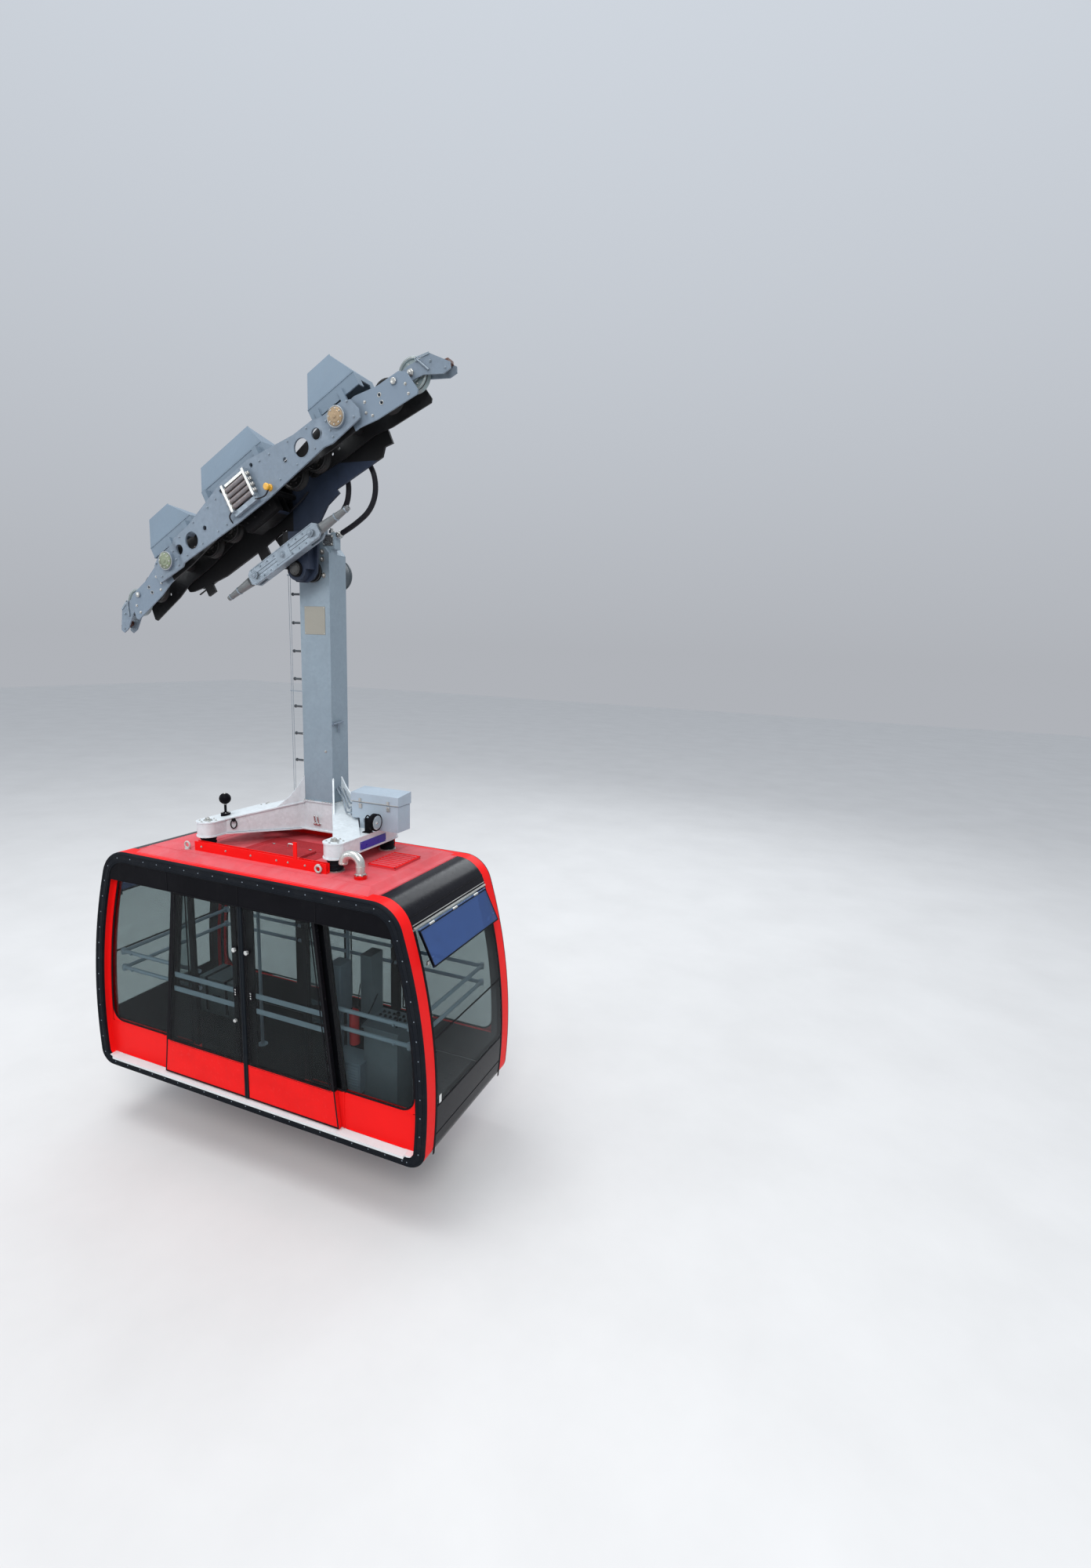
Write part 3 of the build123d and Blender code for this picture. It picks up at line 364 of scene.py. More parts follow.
RED = (0.85, 0.0105, 0.0105)
BLACK = (0.010, 0.010, 0.012)
# near-black painted shade, for faces and parts that sit in shadow
SHADE = (0.006, 0.006, 0.007)
M = {
    "galv": galvanised("galvanised steel", (0.24, 0.29, 0.34)),
    # galv_pale: faces turned to the far side are painted near-black as shade
    "galv_pale": galvanised("galvanised steel, side plates", (0.170, 0.217, 0.272), 0.46, 0.20, 0.06, regions=[(facing_away, SHADE)], metal=0.15),
    # rockers: near-black painted shade, with galvanised grey only on the outer near ends that stand in the light
    "rocker": galvanised("rockers, painted shade with galvanised outer ends", SHADE, 0.5, 0.1, 0.1, regions=[(both(beyond(1225.0), nearer_than(-99.0)), (0.165, 0.215, 0.275))], metal=0.1),
    # hanger: the parts left of the column above 2700 mm are painted dark as shade
    "hanger": galvanised("hanger steel", (0.235, 0.30, 0.355), 0.40, 0.14, 0.04, regions=[(both(left_of(-181.0), above(2700.0)), (0.05, 0.06, 0.07))], metal=0.12),
    "frame": galvanised("roof frame steel", (0.69, 0.745, 0.775), 0.34, 0.16, 0.06, metal=0.12),
    "drum": paint("drum paint", (0.060, 0.078, 0.092), 0.42, 0.0, vary=0.15, dirt=0.25, dirt_rgb=(0.04, 0.045, 0.045), spec=0.4),
    "hood": paint("hood paint", (0.155, 0.208, 0.265), 0.46, 0.0, vary=0.05, dirt=0.12, dirt_rgb=(0.18, 0.19, 0.19), wave=0.10, spec=0.3),
    "box": paint("box paint", (0.36, 0.43, 0.50), 0.42, 0.0, vary=0.06, dirt=0.12, dirt_rgb=(0.22, 0.22, 0.20), spec=0.3),
    "dark": paint("black steel, and painted shade on the inner trucks", (0.008, 0.008, 0.009), 0.60, 0.0, vary=0.25, dirt=0.30, dirt_rgb=(0.02, 0.018, 0.015), spec=0.08),
    # far side plate, its ribs and the brake cylinder: near-black painted shade; the part right of -87.5 and below 5788
    # mm is a blue-grey painted sky light on the shaded arm
    "under": paint("far side plate, painted shade and sky light", SHADE, 0.55, 0.0, vary=0.25, dirt=0.25, dirt_rgb=(0.014, 0.012, 0.010), spec=0.25,
                   regions=[(both(right_of(-87.5), below(5788.0)), (0.020, 0.030, 0.055))]),
    "wheel": paint("wheel steel", (0.24, 0.30, 0.31), 0.36, 0.3, vary=0.14, dirt=0.30),
    # inner wheels: near-black painted shade, with dirt blotches
    "wheel_dark": paint("wheel steel, painted shade", (0.015, 0.015, 0.016), 0.50, 0.2, vary=0.3, dirt=0.4, dirt_rgb=(0.05, 0.04, 0.03), spec=0.3),
    "liner": rubber("wheel liner", (0.02, 0.02, 0.02), 0.5, 0.3),
    "bare": paint("machined steel", (0.50, 0.50, 0.48), 0.30, 0.8, vary=0.12, dirt=0.25),
    "socket": paint("socket steel", (0.17, 0.18, 0.185), 0.46, 0.25, vary=0.16, dirt=0.35, dirt_rgb=(0.05, 0.045, 0.04), spec=0.4),
    "bolt": paint("zinc bolts", (0.52, 0.52, 0.50), 0.34, 0.8, vary=0.10, dirt=0.20),
    "bolt_dark": paint("black bolts, and painted shade on the inner wheels", (0.05, 0.05, 0.05), 0.4, 0.5, vary=0.2, dirt=0.20),
    "spring": paint("brown springs", (0.26, 0.145, 0.095), 0.34, 0.45, vary=0.20, dirt=0.30),
    "hose": rubber("hose rubber", (0.010, 0.010, 0.014), 0.5, 0.06, 0.15),
    "red": paint("red paint", RED, 0.36, 0.0, 0.03, vary=0.04, dirt=0.04, dirt_rgb=(0.35, 0.04, 0.04), wave=0.08, spec=0.05,
                 regions=[(inside_y(652.0), (0.020, 0.020, 0.022))]),
    "red_plain": paint("red paint, small parts", RED, 0.36, 0.0, 0.0, vary=0.05, dirt=0.04, dirt_rgb=(0.35, 0.04, 0.04), spec=0.05),
    "roof": paint("roof paint", (0.64, 0.050, 0.065), 0.52, 0.0, 0.0, vary=0.14, patch=1.5, dirt=0.20, dirt_rgb=(0.28, 0.05, 0.06), spec=0.2,
                  dust=0.50, dust_rgb=(0.56, 0.20, 0.22), regions=[(below(TOP - 39.0), (0.020, 0.020, 0.022))]),
    "grip": paint("anti-slip roof sheet", (0.46, 0.035, 0.045), 0.68, 0.0, 0.0, vary=0.18, patch=2.5, grain=600, bump=0.6,
                  dust=0.30, dust_rgb=(0.34, 0.08, 0.09), spec=0.2),
    "rail_red": paint("rail paint", RED, 0.34, 0.0, 0.0, vary=0.05, dirt=0.06, dirt_rgb=(0.35, 0.04, 0.04), spec=0.05,
                      regions=[(outside_y(531.0), (0.50, 0.50, 0.48))]),
    "gooseneck": paint("vent pipe", (0.56, 0.57, 0.55), 0.30, 0.75, vary=0.10, dirt=0.15, regions=[(below(CROWN + 33.0), RED)]),
    "black": paint("gloss black", (0.006, 0.006, 0.009), 0.20, 0.0, 0.0, vary=0.10, dirt=0.10, dirt_rgb=(0.03, 0.03, 0.035), wave=0.10, spec=0.12),
    "satin": paint("satin black", (0.006, 0.006, 0.008), 0.42, 0.0, 0.0, vary=0.15, dirt=0.10, dirt_rgb=(0.03, 0.03, 0.03), spec=0.03),
    "rim": rubber("rim rubber", (0.009, 0.011, 0.015), 0.58, 0.05, 0.05),
    "gasket": rubber("window rubber", (0.008, 0.008, 0.010), 0.55, 0.04, 0.05),
    "seal": rubber("door seal", (0.006, 0.009, 0.013), 0.55, 0.04, 0.08),
    "leaf": paint("door leaf", (0.007, 0.007, 0.009), 0.22, 0.0, 0.0, vary=0.08, dirt=0.06, dirt_rgb=(0.06, 0.03, 0.03),
                  regions=[(below(Z_GLASS - 0.5), RED)], wave=0.08, spec=0.06),
    "wall": paint("side wall", RED, 0.34, 0.0, 0.0, vary=0.04, dirt=0.04, dirt_rgb=(0.35, 0.04, 0.04), spec=0.06,
                  regions=[(near_doors, BLACK), (above(Z_FASC + 10.0), BLACK), (inside_y(701.5), (0.02, 0.02, 0.022))]),
    "glass": pane("tinted glass", (0.66, 0.70, 0.70)),
    "flap": pane("vent flap glass", (0.42, 0.55, 0.86), 1.3, film=((0.072, 0.135, 0.33), 0.50)),
    "lens": pane("lamp glass", (0.90, 0.92, 0.92), 1.2),
    "tread": paint("sill aluminium", (0.70, 0.72, 0.73), 0.45, 0.10, vary=0.05, dirt=0.12, dirt_rgb=(0.35, 0.34, 0.32), spec=0.4),
    "rail": paint("rail paint, grey", (0.46, 0.55, 0.64), 0.34, 0.10, vary=0.06, dirt=0.06),
    "inside": paint("inside lining", (0.014, 0.015, 0.017), 0.55, vary=0.10, spec=0.1),
    "floor": paint("cabin floor", (0.022, 0.023, 0.025), 0.60, vary=0.18, grain=500, bump=0.5, dirt=0.3, spec=0.1),
    "desk": paint("desk paint", (0.20, 0.23, 0.26), 0.40, vary=0.08, dirt=0.08),
    "cabinet": paint("cabinet paint", (0.26, 0.31, 0.37), 0.38, 0.0, vary=0.08),
    "chest": paint("chest paint", (0.14, 0.17, 0.18), 0.42, vary=0.10, dirt=0.15),
    "white": paint("white enamel", (0.78, 0.78, 0.76), 0.34, 0.0, 0.0, vary=0.06, dirt=0.10, dirt_rgb=(0.4, 0.38, 0.34)),
    "plate_beige": paint("plate enamel", (0.30, 0.29, 0.25), 0.34, 0.0, 0.0, vary=0.08, dirt=0.16, dirt_rgb=(0.28, 0.25, 0.20), spec=0.3),
    "plate_blue": paint("blue enamel", (0.030, 0.030, 0.34), 0.30, 0.0, 0.0, vary=0.06, spec=0.3),
    "yellow": paint("yellow paint", (0.70, 0.36, 0.02), 0.34, 0.0, 0.1, vary=0.10, dirt=0.2),
    "cap_green": paint("grease cap, green", (0.22, 0.26, 0.17), 0.46, 0.1, vary=0.30, patch=9, dirt=0.45),
    "cap_brown": paint("grease cap, brown", (0.34, 0.24, 0.14), 0.44, 0.1, vary=0.30, patch=9, dirt=0.40),
    "brown": paint("brown primer", (0.10, 0.035, 0.022), 0.5, 0.1, vary=0.2, dirt=0.3),
    "silver": paint("bright fitting", (0.62, 0.63, 0.62), 0.24, 0.9, vary=0.10, dirt=0.15),
    "mirror": paint("reflector", (0.90, 0.90, 0.88), 0.12, 1.0, vary=0.03),
    "signal_red": paint("red handset", (0.60, 0.02, 0.02), 0.35, vary=0.05),
}

CAD_FINISH = {
    "side_plate_near": "galv_pale", "side_plate_far": "under", "cross_tubes": "dark", "hanger_pin": "dark",
    "rail_brake": "dark", "brake_springs": "galv", "hoods": "hood", "haul_rope_bar": "galv", "rope_sockets": "socket",
    "hose_1": "hose", "hose_2": "hose", "rocker_lower": "rocker", "rocker_upper": "rocker",
    # the inner trucks take the near-black finish as painted shade; the outer two keep galvanised grey
    "truck_1": "galv_pale", "truck_2": "dark", "truck_3": "dark", "truck_4": "galv_pale",
    "hanger_column": "hanger", "bearing_cap": "drum", "hub_frame": "frame", "rubber_mounts": "rim",
    "electrical_box": "box", "box_lid": "box", "roof_lamp": "satin", "ball_post": "satin",
    "side_hoops": "red", "edge_rims": "rim",  "roof_panel": "roof", "roof_hatch": "grip", "roof_rails": "rail_red",
    "vent_pipe": "gooseneck", "end_headers": "black", "end_windows": "glass", "end_aprons": "black", "vent_flaps": "flap",
    "floor_pan": "floor", "side_panels": "wall", "side_windows": "glass", "door_headers": "satin", "sills": "tread",
    "door_left": "leaf", "door_left_glass": "glass", "door_right": "leaf", "door_right_glass": "glass",
    "handrails": "rail", "operator_desk": "desk", "rescue_chest": "chest",
}
# the inner six wheels take the painted-shade finish, only the outer two show their steel
for k in range(1, 9):
    CAD_FINISH["wheel_%d" % k] = "wheel" if k in (1, 8) else "wheel_dark"

# glass stays a plain solid; the rest gets its edges softened a little
SHARP = {"end_windows", "side_windows", "door_left_glass", "door_right_glass", "vent_flaps", "side_hoops", "edge_rims", "hose_1", "hose_2"}
for name, obj in frame["nodes"].items():
    finish = M[CAD_FINISH[name]]
    if not obj.material_slots:
        obj.data.materials.append(finish)
    for s in obj.material_slots:
        s.material = finish
    if name in SHARP:
        continue
    w = obj.modifiers.new("join", "WELD")
    w.merge_threshold = 0.00005
    b = obj.modifiers.new("edges", "BEVEL")
    b.width, b.segments, b.limit_method, b.angle_limit = 0.0022, 2, "ANGLE", math.radians(38)
    b.use_clamp_overlap = True
    b.harden_normals = False
    n = obj.modifiers.new("shade", "WEIGHTED_NORMAL")
    n.keep_sharp = False


# ---------------------------------------------------------------- mesh building
class Kit:
    """gathers the shapes of one piece, in millimetres of the cabin or the carriage frame"""

    def __init__(self, place=CAB):
        self.bm = bmesh.new()
        self.place = place

    def verts(self, pts):
        return [self.bm.verts.new(self.place @ Vector(p)) for p in pts]

    def loft(self, rings, closed=False, cap=True):
        """skin over rings that have the same number of points"""
        made = [self.verts(r) for r in rings]
        pairs = list(zip(made, made[1:])) + ([(made[-1], made[0])] if closed else [])
        for a, b in pairs:
            for i in range(len(a)):
                j = (i + 1) % len(a)
                self.bm.faces.new((a[i], a[j], b[j], b[i]))
        if cap and not closed:
            self.bm.faces.new(made[0][::-1])
            self.bm.faces.new(made[-1])

    def prism(self, pts, axis, lo, hi):
        put = {"x": lambda u, v, w: (w, u, v), "y": lambda u, v, w: (u, w, v), "z": lambda u, v, w: (u, v, w)}[axis]
        self.loft([[put(u, v, lo) for u, v in pts], [put(u, v, hi) for u, v in pts]])

    def box(self, x0, x1, y0, y1, z0, z1):
        self.prism([(x0, y0), (x1, y0), (x1, y1), (x0, y1)], "z", z0, z1)

    def band(self, outer, inner, y0, y1):
        """closed flat ring between two outlines in X and Z, from y0 to y1"""
        n = len(outer)
        vs = [self.verts([(x, y, z) for x, z in ring]) for y in (y0, y1) for ring in (outer, inner)]
        o0, i0, o1, i1 = vs
        for k in range(n):
            j = (k + 1) % n
            for a, b, c, d in ((o0, o0, i0, i0), (o1, o1, i1, i1), (o0, o0, o1, o1), (i0, i0, i1, i1)):
                self.bm.faces.new((a[k], b[j], c[j], d[k]))

    def frames(self, direction):
        d = Vector(direction).normalized()
        u = d.orthogonal().normalized()
        return d, u, d.cross(u)

    def lathe(self, at, direction, profile, seg=20, turn=0.0):
        """solid of revolution: (radius, height along direction) pairs"""
        d, u, v = self.frames(direction)
        at = Vector(at)
        rings = []
        for r, h in profile:
            ring = []
            for k in range(seg):
                a = 2 * math.pi * k / seg + turn
                ring.append(at + d * h + (u * math.cos(a) + v * math.sin(a)) * max(r, 0.01))
            rings.append(ring)
        self.loft(rings)

    def rod(self, a, b, r, seg=14, r2=None):
        a, b = Vector(a), Vector(b)
        self.lathe(a, b - a, [(r, 0), (r if r2 is None else r2, (b - a).length)], seg)

    def bolt(self, at, direction, r=9.0):
        self.lathe(at, direction, [(r * 1.45, 0), (r * 1.45, r * 0.22), (r * 1.2, r * 0.26)], 16)
        self.lathe(at, direction, [(r * 1.05, r * 0.2), (r * 1.12, r * 0.35), (r * 1.12, r * 0.95), (r * 0.95, r * 1.1)], 6)
        self.lathe(at, direction, [(r * 0.55, r), (r * 0.55, r * 1.4), (r * 0.4, r * 1.5)], 10)

    def rivet(self, at, direction, r=5.0, h=None):
        h = r * 0.55 if h is None else h
        self.lathe(at, direction, [(r, -0.5), (r, h * 0.25), (r * 0.82, h * 0.7), (r * 0.4, h)], 10)

    def tube(self, pts, r, seg=10, closed=False):
        """round bar along points, its ring carried along without twist"""
        pts = [Vector(p) for p in pts]
        n = len(pts)
        rings, u = [], None
        for i, p in enumerate(pts):
            if closed:
                t = (pts[(i + 1) % n] - pts[i - 1]).normalized()
            else:
                t = (pts[min(i + 1, n - 1)] - pts[max(i - 1, 0)]).normalized()
            u = t.orthogonal().normalized() if u is None else (u - t * u.dot(t)).normalized()
            v = t.cross(u)
            rad = r[i] if isinstance(r, (list, tuple)) else r
            rings.append([p + (u * math.cos(2 * math.pi * k / seg) + v * math.sin(2 * math.pi * k / seg)) * rad for k in range(seg)])
        self.loft(rings, closed=closed)

    def ring(self, at, direction, big, small, seg=28, sides=8, flat=1.0):
        d, u, v = self.frames(direction)
        at = Vector(at)
        path = [at + (u * math.cos(2 * math.pi * k / seg) + v * math.sin(2 * math.pi * k / seg)) * big for k in range(seg)]
        rings = []
        for p in path:
            out = (p - at).normalized()
            rings.append([p + (out * math.cos(2 * math.pi * j / sides) + d * flat * math.sin(2 * math.pi * j / sides)) * small for j in range(sides)])
        self.loft(rings, closed=True)

    def done(self, name, finish, body, slot=None, bevel=0.0, sharp=34.0):
        bmesh.ops.recalc_face_normals(self.bm, faces=self.bm.faces)
        mesh = bpy.data.meshes.new(name)
        self.bm.to_mesh(mesh)
        self.bm.free()
        mesh.materials.append(M[finish])
        mesh.polygons.foreach_set("use_smooth", [True] * len(mesh.polygons))
        mesh.set_sharp_from_angle(angle=math.radians(sharp))
        obj = bpy.data.objects.new(name, mesh)
        bpy.context.scene.collection.objects.link(obj)
        if bevel:
            b = obj.modifiers.new("edges", "BEVEL")
            b.width, b.segments, b.limit_method, b.angle_limit = bevel * MM, 2, "ANGLE", math.radians(40)
        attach(obj, body)
        return obj


def bend(points, n=8):
    """smooth line through points"""
    p = [Vector(q) for q in points]
    p = [p[0] * 2 - p[1]] + p + [p[-1] * 2 - p[-2]]
    out = []
    for a, b, c, d in zip(p, p[1:], p[2:], p[3:]):
        for k in range(n):
            t = k / n
            out.append(0.5 * (2 * b + (c - a) * t + (2 * a - 5 * b + 4 * c - d) * t * t + (3 * b - a - 3 * c + d) * t ** 3))
    out.append(p[-2])
    return out


# ================================================================ cabin: rims, roof, walls
for side, word in ((-1, "near"), (1, "far")):
    y = side * (HW + 14)
    k = Kit()
    for (p, z), (dx, dz) in [((q.x, q.y), (d.x, d.y)) for q, d in walk(outline(52), 172)]:
        k.rivet((p, y, z), (0, side, 0), 5.5, 3.5)
    k.done("rim_screws_" + word, "galv", "cabin", "bare_steel")
    k = Kit()
    for off, wide, high in ((14, 7, 3.0), (30, 8, 3.5), (74, 8, 3.5), (90, 6, 2.5)):
        k.band(outline(off), outline(off + wide), *sorted((y - side * 2, y + side * high)))
    k.done("rim_ribs_" + word, "rim", "cabin", "black_rubber", 1.0)

# anti-slip sheets with ribs along the car, round the hatch, and on it
grip = Kit()
for x0, x1, y0, y1 in ((-455, 400, -64, 210), (-455, -306, -330, -64), (266, 400, -330, -64)):
    grip.box(x0, x1, y0, y1, CROWN - 0.5, CROWN + 2.0)
    y = y0 + 8
    while y < y1 - 8:
        grip.box(x0 + 6, x1 - 6, y, y + 6, CROWN + 1.5, CROWN + 5.0)
        y += 15
grip.done("roof_grip_ribs", "grip", "cabin", "roof_red")
k = Kit()
y = -416
while y < -84:
    k.box(-288, 248, y, y + 6, CROWN + 26.5, CROWN + 30)
    y += 15
k.done("hatch_ribs", "grip", "roof_hatch", "roof_red")
k = Kit()
k.tube(bend([(-60, -92, CROWN + 26), (-58, -92, CROWN + 52), (-40, -92, CROWN + 60), (0, -92, CROWN + 60), (18, -92, CROWN + 52), (20, -92, CROWN + 26)]), 6)
for x in (-240, 200):
    k.box(x - 16, x + 16, -86, -72, CROWN + 26, CROWN + 34)
    k.rivet((x, -79, CROWN + 34), (0, 0, 1), 5)
k.done("hatch_handle", "silver", "roof_hatch", "bare_steel", 0.8)

k = Kit()
for x in (-905, 845):           # lap seams across the roof
    k.box(x - 14, x + 14, -602, 602, CROWN - 0.5, CROWN + 2.0)
    for i in range(24):
        k.rivet((x, -580 + i * 50.4, CROWN + 2), (0, 0, 1), 4.5)
for side in (-1, 1):            # seams along the raised middle
    k.box(-1268, 1268, side * 597 - 7, side * 597 + 7, CROWN - 1.0, CROWN + 1.6)
    for i in range(32):
        k.rivet((-1240 + i * 80, side * 590, CROWN + 1), (0, 0, 1), 4.5)
    k.box(-1300, 1300, side * 741 - 4, side * 741 + 4, TOP - 0.5, TOP + 2.2)
for x in (-1385, 1385):         # drip strips over the ends
    k.box(x - 5, x + 5, -648, 648, TOP - 1, TOP + 5)
k.done("roof_seams", "roof", "cabin", "roof_red", 0.8)

k = Kit()                       # louvre frame and its blades
k.box(920, 1210, -160, -150, CROWN + 19, CROWN + 26)
k.box(920, 1210, 260, 270, CROWN + 19, CROWN + 26)
k.box(920, 930, -160, 270, CROWN + 19, CROWN + 26)
k.box(1200, 1210, -160, 270, CROWN + 19, CROWN + 26)
for i in range(8):
    y = -160 + 22 + i * 50
    k.prism([(y + 22, CROWN + 27), (y + 40, CROWN + 21), (y + 42, CROWN + 23), (y + 24, CROWN + 29)], "x", 936, 1194)
for x in (928, 1202):
    for i in range(5):
        k.rivet((x, -140 + i * 98, CROWN + 26), (0, 0, 1), 4)
k.done("louvre_blades", "rail_red", "cabin", "roof_red", 0.8)

k = Kit()                       # rail fixings and bolts
for x in (-700, -400, -100, 200, 330, 520, 700):
    k.bolt((x, -530, CROWN + 45), (0, -1, 0), 7)
    k.bolt((x, 530, CROWN + 45), (0, 1, 0), 7)
for x in (-740, -300, 150, 600):
    for s in (-1, 1):
        k.bolt((x, s * 505, CROWN + 11), (0, 0, 1), 7)
for a in range(6):
    t = math.radians(60 * a + 20)
    k.bolt((1075 + 49 * math.cos(t), -480 + 49 * math.sin(t), CROWN + 32), (0, 0, 1), 5)
k.done("roof_bolts", "bolt", "cabin", "bare_steel")
k = Kit()
k.ring((1075, -480, CROWN + 42), (0, 0, 1), 42, 5)
k.ring((1075, -480, CROWN + 110), (0, 0, 1), 40.5, 2.2)
k.ring((895, -480, 2352), (0, 0, 1), 39.0, 3.0)
k.done("vent_pipe_rings", "gooseneck", "cabin", "hanger_steel")
k = Kit()                       # gauze in the vent's mouth
for i in range(7):
    o = -30 + 10 * i
    h = math.sqrt(max(36 ** 2 - o * o, 1))
    k.rod((895 + o, -480 - h, 2346), (895 + o, -480 + h, 2346), 1.2, 6)
    k.rod((895 - h, -480 + o, 2348), (895 + h, -480 + o, 2348), 1.2, 6)
k.done("vent_gauze", "dark", "cabin", "dark_steel")

# ---- side walls: window rubbers, red corner webs, panel folds, sill ribs
win = [(x, z) for x, z in outline(HOOP + 46, 8) if x > 0 and Z_GLASS < z < 1985]


def offset_in(pts, d):
    """closed loop moved inward by d, taken as a left-turning loop"""
    n, out = len(pts), []
    for i in range(n):
        a, b, c = Vector(pts[i - 1]), Vector(pts[i]), Vector(pts[(i + 1) % n])
        u, v = (b - a).normalized(), (c - b).normalized()
        m = Vector((-(u.y + v.y), u.x + v.x))
        m = m.normalized() if m.length > 1e-6 else Vector((-u.y, u.x))
        scale = d / max(m.dot(Vector((-u.y, u.x))), 0.35)
        q = b + m * scale
        out.append((q.x, q.y))
    return out


def round_corner(a, b, c, r, n=6):
    """arc of radius r in the corner b"""
    a, b, c = Vector(a), Vector(b), Vector(c)
    u, v = (a - b).normalized(), (c - b).normalized()
    half = u.angle(v) / 2
    t = r / math.tan(half)
    centre = b + (u + v).normalized() * (r / math.sin(half))
    p, q = b + u * t - centre, b + v * t - centre
    turn = p.angle_signed(q)
    out = []
    for k in range(n + 1):
        ang = -turn * k / n
        out.append(tuple(centre + Vector((p.x * math.cos(ang) - p.y * math.sin(ang), p.x * math.sin(ang) + p.y * math.cos(ang)))))
    return out


xb = x_end(Z_GLASS, HOOP + 46)
CORNER_R = 135.0
side_loop = ([(702, Z_GLASS)] + round_corner((702, Z_GLASS), (xb, Z_GLASS), win[2], CORNER_R, 10)
             + [p for p in win if p[1] > Z_GLASS + CORNER_R * 1.1] + [(1330, 1985), (702, 1985)])
gasket, corner = Kit(), Kit()
for side in (-1, 1):
    for flip in (-1, 1):
        loop = [(flip * x, z) for x, z in (side_loop if flip > 0 else side_loop[::-1])]
        inner = offset_in(loop, 15)
        gasket.band(loop, inner, *sorted((side * 738, side * 745)))
        web = [(flip * (xb + 3), Z_GLASS - 3)] + [(flip * x, z) for x, z in round_corner((702, Z_GLASS), (xb, Z_GLASS), win[2], CORNER_R, 10)]
        corner.prism(web, "y", *sorted((side * 739, side * 743)))
for x0, x1 in ((-582, -28), (28, 582)):
    loop = [(x0, Z_GLASS), (x1, Z_GLASS), (x1, 1985), (x0, 1985)]
    gasket.band(loop, offset_in(loop, 15), 738, 745)
gasket.done("window_rubbers", "gasket", "cabin", "black_rubber", 1.2)
corner.done("window_corner_webs", "red_plain", "cabin", "red_shell")

k = Kit()                       # folded edges on the lower red panels, beside the doors and under the rims
for side in (-1, 1):
    for flip in (-1, 1):
        for x0, x1, z0, z1 in ((1062, 1074, -8, 350), (1090, 1780, 338, 350), (1094, 1700, -8, 4)):
            a, b = sorted((flip * x0, flip * x1))
            if side > 0 and x0 < 1080:
                continue
            k.box(a, b, *sorted((side * 739, side * 746)), z0, z1)
k.done("lower_panel_folds", "red_plain", "cabin", "red_shell", 1.5)

k = Kit()                       # tread ribs and screws on the sills
for side in (-1, 1):
    for i in range(9):
        y = 746 + i * 8.6
        if 744 < y < 792 and side < 0:
            for x0, x1 in ((-1735, -1060), (1060, 1735)):
                k.box(x0, x1, *sorted((side * y, side * (y + 4))), -11, -7.5)
        else:
            k.box(-1735, 1735, *sorted((side * y, side * (y + 4))), -11, -7.5)
    k.box(-1738, 1738, *sorted((side * 829, side * 833)), -34, -8)
    for i in range(22):
        k.rivet((-1680 + i * 160, side * 832, -18), (0, side, 0), 4.5)
k.done("sill_treads", "tread", "cabin", "tread_aluminium", 0.6)

k = Kit()                       # joints of the black band over the doors, with its cover screws
for side in (-1, 1):
    y0, y1 = sorted((side * 806, side * 810))
    for x in (-850, 0, 850):
        k.box(x - 3, x + 3, y0, y1, Z_FASC + 6, TOP - HOOP - 4)
    k.box(-1560, 1560, y0, y1, Z_FASC, Z_FASC + 5)
    k.box(-1500, 1500, y0, y1, TOP - HOOP - 8, TOP - HOOP - 4)
    for i in range(17):
        k.rivet((-1440 + i * 180, side * 807, TOP - HOOP - 24), (0, side, 0), 5)
k.done("fascia_joints", "gasket", "cabin", "black_rubber", 0.6)

